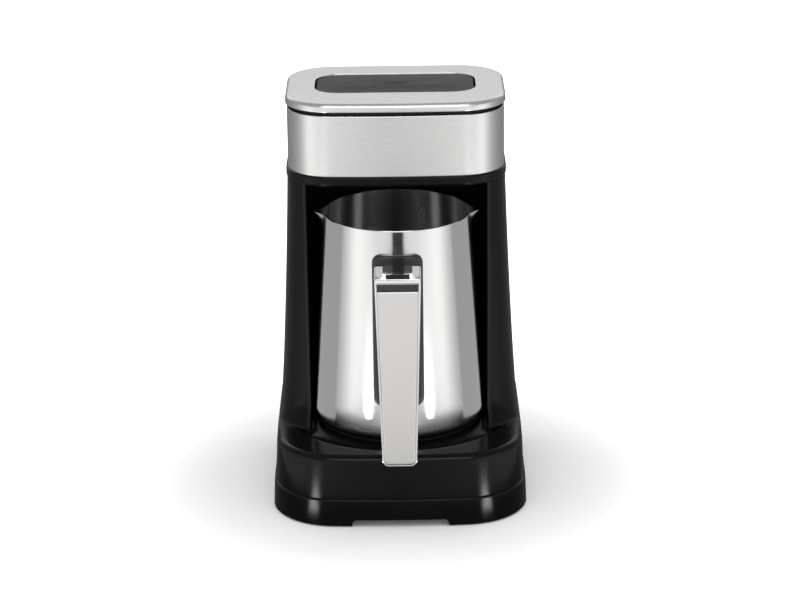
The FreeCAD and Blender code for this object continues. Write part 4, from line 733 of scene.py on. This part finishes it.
def pot_shell():
    rows = []
    for radius, z in pot_profile():
        reaches = [radius + (beak_reach(a, z) if radius > DISC_RADIUS / 2 else 0.0) for a in circle(360)]
        rows.append([(r * math.cos(a), POT_Y + r * math.sin(a), z) for r, a in zip(reaches, circle(360))])
    rows.append([(p[0] * 0.02, POT_Y + (p[1] - POT_Y) * 0.02, p[2]) for p in rows[-1]])
    rows.insert(0, [(x * 0.02, POT_Y + (y - POT_Y) * 0.02, z) for x, y, z in rows[0]])
    pot = solid("drawn_pot", rows, "pot_stainless", "pot", "pot_shell", caps=True)
    layer = pot.data.uv_layers.new(name="grain")
    for polygon in pot.data.polygons:
        places = [pot.data.vertices[v].co for v in polygon.vertices]
        angles = [math.atan2(p.x, POT_Y * MM - p.y) for p in places]
        if max(angles) - min(angles) > math.pi:
            angles = [a + 2 * math.pi if a < 0 else a for a in angles]
        for index, angle, place in zip(polygon.loop_indices, angles, places):
            layer.data[index].uv = (angle * POT_BOTTOM_RADIUS * MM, place.z)


# Handle

def on_pot(x, z, out):
    return x, POT_Y - math.sqrt((pot_radius(z) + out) ** 2 - x * x), z


def handle_mount_plate():
    low, high = PLATE_TOP_Z - PLATE_HEIGHT, PLATE_TOP_Z
    rows = []
    path = filleted([(0.0, 0.0), (0.0, PLATE_PROUD), (9.0, PLATE_PROUD)], (1.3,), 6, 0.3)
    for inset, out in [tuple(p) for p in path] + [(12.0, PLATE_PROUD), (13.4, PLATE_PROUD)]:
        half, bottom, top = PLATE_HALF_WIDTH - inset, low + inset, high - inset
        radius = max(0.3, PLATE_CORNER - inset)
        outline = filleted(rectangle(half, bottom, top), (min(radius, half * 0.9),) * 4, 8, 0.0)
        rows.append([on_pot(x, z, out) for x, z in resampled(outline, 160)])
    solid("handle_plate", rows, "plate_plastic", "pot", "handle_mount_plate", caps=True)


def resampled(path, count):
    """The closed path as this many points at even steps along it."""
    lengths = [0.0]
    for a, b in zip(path, path[1:]):
        lengths.append(lengths[-1] + (Vector(b) - Vector(a)).length)
    points = []
    i = 0
    for k in range(count):
        goal = lengths[-1] * k / count
        while lengths[i + 1] < goal:
            i += 1
        share = (goal - lengths[i]) / max(1e-9, lengths[i + 1] - lengths[i])
        points.append(tuple(Vector(path[i]).lerp(Vector(path[i + 1]), share)))
    return points


def grip_half_width(drop, margin):
    return (GRIP_TOP_WIDTH + (GRIP_END_WIDTH - GRIP_TOP_WIDTH) * drop / GRIP_LENGTH) / 2 - margin


def in_grip_plane(x, depth, drop):
    cosine, sine = math.cos(GRIP_SLANT), math.sin(GRIP_SLANT)
    return x, GRIP_TOP_Y + depth * cosine - drop * sine, GRIP_TOP_Z - depth * sine - drop * cosine


def grip_row(depth, margin, top, length, top_corner, end_corner):
    wide, narrow = grip_half_width(top, margin), grip_half_width(length, margin)
    corners = [(0.0, top), (wide, top), (narrow, length), (-narrow, length), (-wide, top), (0.0, top)]
    outline = filleted(corners, (top_corner, end_corner, end_corner, top_corner), 8, 0.0)
    return [in_grip_plane(x, depth, drop) for x, drop in outline[:-1]]


def grip_slab(name, slot_name, node, top, length, corner, profile, top_corner=0.3):
    """A slab in the grip's own plane; profile gives inset and depth from its front to its back."""
    margin = FACE_MARGIN + FACE_FIT
    rows = [grip_row(depth, margin + inset, top + inset, length - inset, max(0.1, top_corner - inset),
                     max(0.2, corner - inset)) for inset, depth in profile]
    solid(name, rows, slot_name, "pot", node, caps=True)


def handle_face():
    top = TOP_BAR_HEIGHT + SLOT_HEIGHT
    grip_slab("grip_face", "satin_silver", "handle_face", top, GRIP_LENGTH - FACE_MARGIN - FACE_FIT,
              GRIP_END_CORNER - FACE_MARGIN,
              ((0.8, 0.0), (0.35, 0.02), (0.12, 0.12), (0.0, 0.35), (0.0, FACE_THICKNESS)))


def handle_inlay():
    grip_slab("grip_slot_inlay", "plate_plastic", "handle_inlay", TOP_BAR_HEIGHT,
              TOP_BAR_HEIGHT + SLOT_HEIGHT, 0.3,
              ((0.6, 1.05), (0.2, 1.07), (0.0, 1.2), (0.0, FACE_THICKNESS)))


def handle_trim():
    rows = []
    for inset, depth in ((0.0, TRIM_DEPTH), (0.0, 0.6), (0.08, 0.25), (0.25, 0.07), (0.5, 0.0)):
        rows.append(grip_row(depth, inset, inset, GRIP_LENGTH - inset, 0.9, GRIP_END_CORNER - inset))
    pocket_end = GRIP_LENGTH - FACE_MARGIN
    for out, depth in ((0.3, 0.0), (0.08, 0.06), (0.0, 0.25), (0.0, FACE_THICKNESS)):
        rows.append(grip_row(depth, FACE_MARGIN - out, TOP_BAR_HEIGHT - out, pocket_end + out, 0.4,
                             GRIP_END_CORNER - FACE_MARGIN + out))
    body = rows_mesh("grip_trim", rows, caps=True)
    half, high = GRIP_TOP_WIDTH / 2, GRIP_TOP_Z
    outline = filleted(rectangle(half, high, high - BRIDGE_COVER), (0.9, 0.25, 0.25, 0.9), 6, 0.4)[:-1]
    ahead = [(x, GRIP_TOP_Y + 1.3 + (high - z) * math.tan(GRIP_SLANT), z) for x, z in outline]
    behind = [on_pot(x, z, PLATE_PROUD - 0.05) for x, z in outline]
    rows = [[tuple(Vector(a).lerp(Vector(b), k / 8)) for a, b in zip(ahead, behind)] for k in range(9)]
    joined = bmesh.new()
    joined.from_mesh(body)
    joined.from_mesh(rows_mesh("bridge_cover", rows, caps=True))
    joined.to_mesh(body)
    joined.free()
    finished(link("grip_trim_and_cover", body), "chrome_plate", "pot", "handle_trim")


def handle_core():
    back = [grip_row(depth, FACE_MARGIN + inset, BRIDGE_COVER + inset, GRIP_LENGTH - FACE_MARGIN - inset, 0.8,
                     GRIP_END_CORNER - FACE_MARGIN)
            for inset, depth in ((0.0, TRIM_DEPTH), (0.0, GRIP_THICKNESS - 1.4), (0.25, GRIP_THICKNESS - 0.5),
                                 (0.8, GRIP_THICKNESS - 0.1), (1.5, GRIP_THICKNESS))]
    core = rows_mesh("grip_core", back, caps=True)
    half, high, low = BRIDGE_HALF_WIDTH, GRIP_TOP_Z - BRIDGE_COVER, GRIP_TOP_Z - BRIDGE_HEIGHT
    outline = filleted(rectangle(half, high, low), (0.3, 2.2, 2.2, 0.3), 6, 0.4)[:-1]
    rows = []
    for k in range(9):
        row = []
        for x, z in outline:
            ahead = Vector(in_grip_plane(x, TRIM_DEPTH + 0.5, (GRIP_TOP_Z - z) / math.cos(GRIP_SLANT)))
            ahead.z = z
            row.append(tuple(ahead.lerp(Vector(on_pot(x, z, PLATE_PROUD - 0.05)), k / 8)))
        rows.append(row)
    joined = bmesh.new()
    joined.from_mesh(core)
    joined.from_mesh(rows_mesh("bridge_core", rows, caps=True))
    joined.to_mesh(core)
    joined.free()
    finished(link("grip_core_and_bridge", core), "satin_black_plastic", "pot", "handle_core")


# Repeated parts, laid out by a node tree and kept as plain meshes

def lathed(path, steps):
    """Rows of points round the Z axis; a tiny hole on the axis keeps the end rows whole."""
    open_path = [(max(r, AXIS_HOLE), z) for r, z in path]
    return [[(r * math.cos(a), r * math.sin(a), z) for a in circle(steps)] for r, z in open_path]


def pan_screw(name):
    """A pan-head screw whose head points down, with a cross recess pressed into it."""
    top = -SCREW_HEAD_HEIGHT
    path = filleted([(0.0, top), (2.8, top), (2.8, 0.0), (1.4, 0.0), (1.4, 6.0), (0.0, 6.6)],
                    (1.1, 0.1, 0.1, 0.3), 6, 0.1)
    screw = link(name, rows_mesh(name, lathed(path, 48), caps=True))
    for wide, deep in ((1.9, 0.35), (0.35, 1.9)):
        cut = [[(x, y, z) for x, y in ((-wide, -deep), (wide, -deep), (wide, deep), (-wide, deep))]
               for z in (-2.4, -0.9)]
        subtract(screw, link("recess", rows_mesh("recess", cut, caps=True)))
    return screw


def rubber_foot(name):
    """A round foot with two tread grooves in its sole."""
    path = filleted([(0.0, 5.5), (8.0, 5.5), (8.0, 0.0), (6.4, 0.0), (6.2, 0.6), (5.6, 0.6), (5.4, 0.0),
                     (3.6, 0.0), (3.4, 0.6), (2.8, 0.6), (2.6, 0.0), (0.0, 0.0)],
                    (0.2, 1.0) + (0.1,) * 8, 4, 0.1)
    return link(name, rows_mesh(name, lathed(path, 64), caps=True))


def repeated(name, part, places, tilt, slot_name, body, *replaced):
    """Copies of one part at the places, each turned a little differently about its own axis."""
    tree = bpy.data.node_groups.new(name, "GeometryNodeTree")
    face = tree.interface
    face.new_socket("Geometry", in_out="INPUT", socket_type="NodeSocketGeometry")
    inputs = {"Part": part, "Tilt": tilt, "Finish": FINISHES[slot_name]}
    kinds = {"Part": "NodeSocketObject", "Tilt": "NodeSocketVector", "Finish": "NodeSocketMaterial"}
    sockets = {key: face.new_socket(key, in_out="INPUT", socket_type=kinds[key]).identifier for key in inputs}
    face.new_socket("Geometry", in_out="OUTPUT", socket_type="NodeSocketGeometry")
    given = add_node(tree, "NodeGroupInput")
    shape = add_node(tree, "GeometryNodeObjectInfo", [("Object", given.outputs["Part"])])
    spin = add_node(tree, "FunctionNodeRandomValue", (), [("Seed", 7)], data_type="FLOAT")
    spin.inputs[2].default_value, spin.inputs[3].default_value = 0.0, math.pi
    turn = add_node(tree, "ShaderNodeCombineXYZ", [("Z", spin.outputs[1])])
    first = add_node(tree, "FunctionNodeEulerToRotation", [("Euler", turn.outputs[0])])
    second = add_node(tree, "FunctionNodeEulerToRotation", [("Euler", given.outputs["Tilt"])])
    both = add_node(tree, "FunctionNodeRotateRotation",
                    [("Rotation", first.outputs[0]), ("Rotate By", second.outputs[0])])
    copies = add_node(tree, "GeometryNodeInstanceOnPoints",
                      [("Points", given.outputs["Geometry"]), ("Instance", shape.outputs["Geometry"]),
                       ("Rotation", both.outputs[0])])
    real = add_node(tree, "GeometryNodeRealizeInstances", [("Geometry", copies.outputs[0])])
    painted = add_node(tree, "GeometryNodeSetMaterial",
                       [("Geometry", real.outputs[0]), ("Material", given.outputs["Finish"])])
    add_node(tree, "NodeGroupOutput", [("Geometry", painted.outputs[0])])
    mesh = bpy.data.meshes.new(name)
    mesh.from_pydata([Vector(p) for p in places], [], [])
    piece = link(name, mesh)
    modifier = piece.modifiers.new("layout", "NODES")
    modifier.node_group = tree
    for key, value in inputs.items():
        modifier[sockets[key]] = value
    bpy.context.view_layer.update()
    made = bpy.data.meshes.new_from_object(piece.evaluated_get(bpy.context.evaluated_depsgraph_get()))
    piece.modifiers.clear()
    piece.data = made
    bpy.data.objects.remove(part)
    finished(piece, slot_name, body, *replaced)


def solid_centres(node):
    """For each separate solid of a node, in metres: its middle, its lowest corner and its highest corner."""
    made = bmesh.new()
    made.from_mesh(frame["nodes"][node].data)
    bmesh.ops.remove_doubles(made, verts=made.verts, dist=1e-6)
    left = set(made.verts)
    centres = []
    while left:
        reached, group = [left.pop()], []
        while reached:
            vertex = reached.pop()
            group.append(vertex.co.copy())
            for edge in vertex.link_edges:
                other = edge.other_vert(vertex)
                if other in left:
                    left.remove(other)
                    reached.append(other)
        lows = [min(p[i] for p in group) for i in range(3)]
        highs = [max(p[i] for p in group) for i in range(3)]
        centres.append([(a + b) / 2 for a, b in zip(lows, highs)] + lows + highs)
    made.free()
    return sorted(centres)


def fasteners_and_feet():
    feet = [(c[0], c[1], 0.0) for c in solid_centres("rubber_feet")]
    repeated("rubber_feet_set", rubber_foot("foot"), feet, (0, 0, 0), "feet_rubber", "machine", "rubber_feet")
    head = SCREW_HEAD_HEIGHT * MM
    low = [(c[0], c[1], c[5] + head) for c in solid_centres("bottom_screws")]
    repeated("bottom_screw_set", pan_screw("bottom_screw"), low, (0, 0, 0), "screw_steel", "machine",
             "bottom_screws")
    rear = [(c[0], c[7] - head, c[2]) for c in solid_centres("rear_cover_screws")]
    repeated("rear_screw_set", pan_screw("rear_screw"), rear, (math.pi / 2, 0, 0), "screw_steel", "machine",
             "rear_cover_screws")


for make in (base_shell, hotplate, tower_shell, rear_cover, bay_liner, steel_band, trim_ring, lid_gasket,
             top_cap, top_panel, pot_shell, handle_mount_plate, handle_face, handle_inlay, handle_trim,
             handle_core, fasteners_and_feet):
    make()

for row in frame["record"]["subparts"]:
    node = frame["nodes"][row["node"]]
    node.data.materials.clear()
    node.data.materials.append(FINISHES[row["material_slot"]])


# Paper sweep, light and camera

WHITE = ("Color", (1, 1, 1, 1))
CAMERA_PLACE = (0.0012, -1.4296, 0.593)
CAMERA_PITCH = math.radians(18.78)
CAMERA_ROLL = math.radians(0.73)
CAMERA_LENS = 121.5
SENSOR_WIDTH = 36.0


def emitter(tree, strength):
    return add_node(tree, "ShaderNodeEmission", (), [WHITE, ("Strength", strength)]).outputs[0]


def add_plane(name, centre, across, up, material):
    """A rectangle from its middle and its two half sides, in metres."""
    centre, across, up = Vector(centre), Vector(across), Vector(up)
    mesh = bpy.data.meshes.new(name)
    corners = [centre + across * i + up * j for i, j in ((-1, -1), (1, -1), (1, 1), (-1, 1))]
    mesh.from_pydata(corners, [], [(0, 1, 2, 3)])
    mesh.materials.append(material)
    plane = link(name, mesh)
    return plane


# How bright the room looks in a reflection, by degrees round from straight ahead
ROOM = ((0, 0.45), (8, 0.52), (16, 0.72), (30, 0.74), (44, 0.86), (56, 1.0), (66, 0.98), (76, 0.72),
        (86, 0.5), (98, 0.36), (114, 0.27), (140, 0.2), (180, 0.14))
ROOM_STRENGTH = 1.3
# Metres from the middle of the machine where the floor's shadow starts to fade, and where it is gone
FULL_SHADOW = 0.095
CLEAR_OF_SHADOW = 0.27


def room_glow(tree):
    """Light that depends only on the direction round the machine, the same on its left and right."""
    place = add_node(tree, "ShaderNodeTexCoord").outputs["Object"]
    quarter_turn = (0, 0, math.pi / 2)
    turned_place = add_node(tree, "ShaderNodeMapping", [("Vector", place)], [("Rotation", quarter_turn)])
    around = add_node(tree, "ShaderNodeTexGradient", [("Vector", turned_place.outputs[0])],
                      gradient_type="RADIAL")
    folded = add_node(tree, "ShaderNodeMath", [(0, around.outputs["Fac"])], [(1, 0.5)], operation="PINGPONG")
    ramp = add_node(tree, "ShaderNodeValToRGB", [("Fac", folded.outputs[0])])
    stops = ramp.color_ramp.elements
    stops.remove(stops[1])
    for degrees, glow in ROOM[::-1]:
        stop = stops[0] if degrees == ROOM[-1][0] else stops.new(0.5 - degrees / 360)
        stop.position = 0.5 - degrees / 360
        stop.color = (glow, glow, glow, 1)
    lit = add_node(tree, "ShaderNodeEmission", [("Color", ramp.outputs[0])], [("Strength", ROOM_STRENGTH)])
    return lit.outputs[0]


def add_floor():
    # White paper: soft shadows on near white for the camera, and the room's glow in what reflects it
    material, tree = new_material("paper_sweep")
    paths = add_node(tree, "ShaderNodeLightPath")
    paper = add_node(tree, "ShaderNodeBsdfDiffuse", (), [("Color", shaded("#f2f2f2", 1.0))]).outputs[0]
    shadowed = add_node(tree, "ShaderNodeBsdfDiffuse", (), [("Color", shaded("#ffffff", 1.0))]).outputs[0]
    place = add_node(tree, "ShaderNodeTexCoord").outputs["Object"]
    away = add_node(tree, "ShaderNodeVectorMath", [(0, place)], operation="LENGTH").outputs["Value"]
    lift = add_node(tree, "ShaderNodeMapRange", [("Value", away)],
                    [("From Min", FULL_SHADOW), ("From Max", CLEAR_OF_SHADOW), ("To Min", 0.04),
                     ("To Max", 1.0)], interpolation_type="SMOOTHSTEP")
    glow = add_node(tree, "ShaderNodeEmission", [("Strength", lift.outputs[0])]).outputs[0]
    lifted = add_node(tree, "ShaderNodeAddShader", [(0, shadowed), (1, glow)]).outputs[0]
    seen = add_node(tree, "ShaderNodeMixShader",
                    [(0, paths.outputs["Is Camera Ray"]), (1, paper), (2, lifted)]).outputs[0]
    mirrored = add_node(tree, "ShaderNodeMixShader",
                        [(0, paths.outputs["Is Glossy Ray"]), (1, seen), (2, room_glow(tree))]).outputs[0]
    from_below = add_node(tree, "ShaderNodeNewGeometry").outputs["Backfacing"]
    unseen = add_node(tree, "ShaderNodeBsdfTransparent").outputs[0]
    paper_side = add_node(tree, "ShaderNodeMixShader", [(0, from_below), (1, mirrored), (2, unseen)])
    add_node(tree, "ShaderNodeOutputMaterial", [("Surface", paper_side.outputs[0])])
    add_plane("floor", (0, 0, 0), (6, 0, 0), (0, 6, 0), material)


def reflections_only(card):
    card.visible_camera = False
    card.visible_diffuse = False
    card.visible_transmission = False
    card.visible_shadow = False


def add_room_wall():
    """A low round wall that carries the floor's glow upwards in the reflections."""
    material, tree = new_material("room_wall")
    add_node(tree, "ShaderNodeOutputMaterial", [("Surface", room_glow(tree))])
    rows = [[(2600 * math.cos(a), 2600 * math.sin(a), z) for a in circle(72)] for z in (0.0, 700.0)]
    wall = link("room_wall", rows_mesh("room_wall", rows))
    wall.data.materials.append(material)
    reflections_only(wall)


def add_card(name, centre, across, up, strength):
    """A card that only reflections see, from its front: a softbox where it glows, and else a black flag."""
    material, tree = new_material(name)
    behind = add_node(tree, "ShaderNodeNewGeometry").outputs["Backfacing"]
    unseen = add_node(tree, "ShaderNodeBsdfTransparent").outputs[0]
    face = add_node(tree, "ShaderNodeMixShader", [(0, behind), (1, emitter(tree, strength)), (2, unseen)])
    add_node(tree, "ShaderNodeOutputMaterial", [("Surface", face.outputs[0])])
    reflections_only(add_plane(name, centre, across, up, material))


def add_softbox(name, place, size, power):
    lamp = bpy.data.lights.new(name, "AREA")
    lamp.shape = "RECTANGLE"
    lamp.size, lamp.size_y = size
    lamp.energy = power
    holder = link(name, lamp)
    holder.location = place
    holder.rotation_euler = (Vector((0, 0, 0.1)) - Vector(place)).to_track_quat("-Z", "Y").to_euler()
    holder.visible_camera = False
    holder.visible_glossy = False


def add_world():
    world = bpy.data.worlds.new("studio")
    world.use_nodes = True
    tree = world.node_tree
    tree.nodes.clear()
    paths = add_node(tree, "ShaderNodeLightPath")
    lighting, mirrored, background = [
        add_node(tree, "ShaderNodeBackground", (), [WHITE, ("Strength", strength)]).outputs[0]
        for strength in (0.88, 0.4, 1.0)]
    room = add_node(tree, "ShaderNodeMixShader",
                    [(0, paths.outputs["Is Glossy Ray"]), (1, lighting), (2, mirrored)]).outputs[0]
    mixed = add_node(tree, "ShaderNodeMixShader",
                     [(0, paths.outputs["Is Camera Ray"]), (1, room), (2, background)])
    add_node(tree, "ShaderNodeOutputWorld", [("Surface", mixed.outputs[0])])
    bpy.context.scene.world = world


def add_camera():
    pitch, roll = CAMERA_PITCH, CAMERA_ROLL
    forward = Vector((0, math.cos(pitch), -math.sin(pitch)))
    level_right = Vector((1, 0, 0))
    level_up = Vector((0, math.sin(pitch), math.cos(pitch)))
    right = level_right * math.cos(roll) - level_up * math.sin(roll)
    up = level_up * math.cos(roll) + level_right * math.sin(roll)
    camera = link("camera", bpy.data.cameras.new("camera"))
    camera.data.sensor_width = SENSOR_WIDTH
    camera.data.lens = CAMERA_LENS
    camera.data.clip_start = 0.05
    turn = Matrix((right, up, -forward)).transposed().to_4x4()
    camera.matrix_world = Matrix.Translation(CAMERA_PLACE) @ turn
    bpy.context.scene.camera = camera


def light_studio():
    add_floor()
    add_world()
    add_room_wall()
    add_softbox("overhead_softbox", (0.0, -0.1, 1.6), (1.6, 1.4), 3.5)
    for side, label in ((-1, "left"), (1, "right")):
        lie = Vector((0.68 * side, -0.733, 0))
        add_card(label + "_strip", Vector((0.050 * side, -0.068, 0.0006)) + lie * 0.09,
                 Vector((0.733, 0.68 * side, 0)) * 0.012, lie * -0.04, 24.0)
        add_card(label + "_bounce", (0.0492 * side, -0.006, 0.098), (0, -0.014 * side, 0),
                 (0, 0, 0.058), 0.42)
        add_card(label + "_pot_glow", (0.036 * side, 0.0163, 0.118), (0, -0.006 * side, 0),
                 (0, 0, 0.022), 0.2)
        add_card(label + "_bridge_glow", (0.0103 * side, -0.0372, 0.1422), (0.0022, 0, 0),
                 (0, 0, 0.003), 0.7)
    add_card("front_card", (0.0, -1.25, 0.2), (-0.3, 0, 0), (0, 0, 0.16), 1.15)
    add_card("high_softbox", (0.0, -1.0, 0.78), (-0.5, 0, 0), (0, 0.1, 0.13), 4.5)
    add_card("dark_cloth", (0.0, 0.0, 0.0003), (0.15, 0, 0), (0, 0.19, 0), 0.12)
    add_card("rear_wall", (0.0, 1.2, 0.95), (1.0, 0, 0), (0, 0, 0.4), 1.25)
    add_card("pot_flag", (0.0008, -0.052, 0.1485), (-0.006, 0, 0), (0, 0, 0.0092), 0.0)
    add_card("bridge_flag", (0.0, -0.0365, 0.1505), (0.0065, 0, 0), (0, 0, 0.0065), 0.03)


light_studio()
add_camera()
bpy.context.scene.view_settings.view_transform = "Standard"
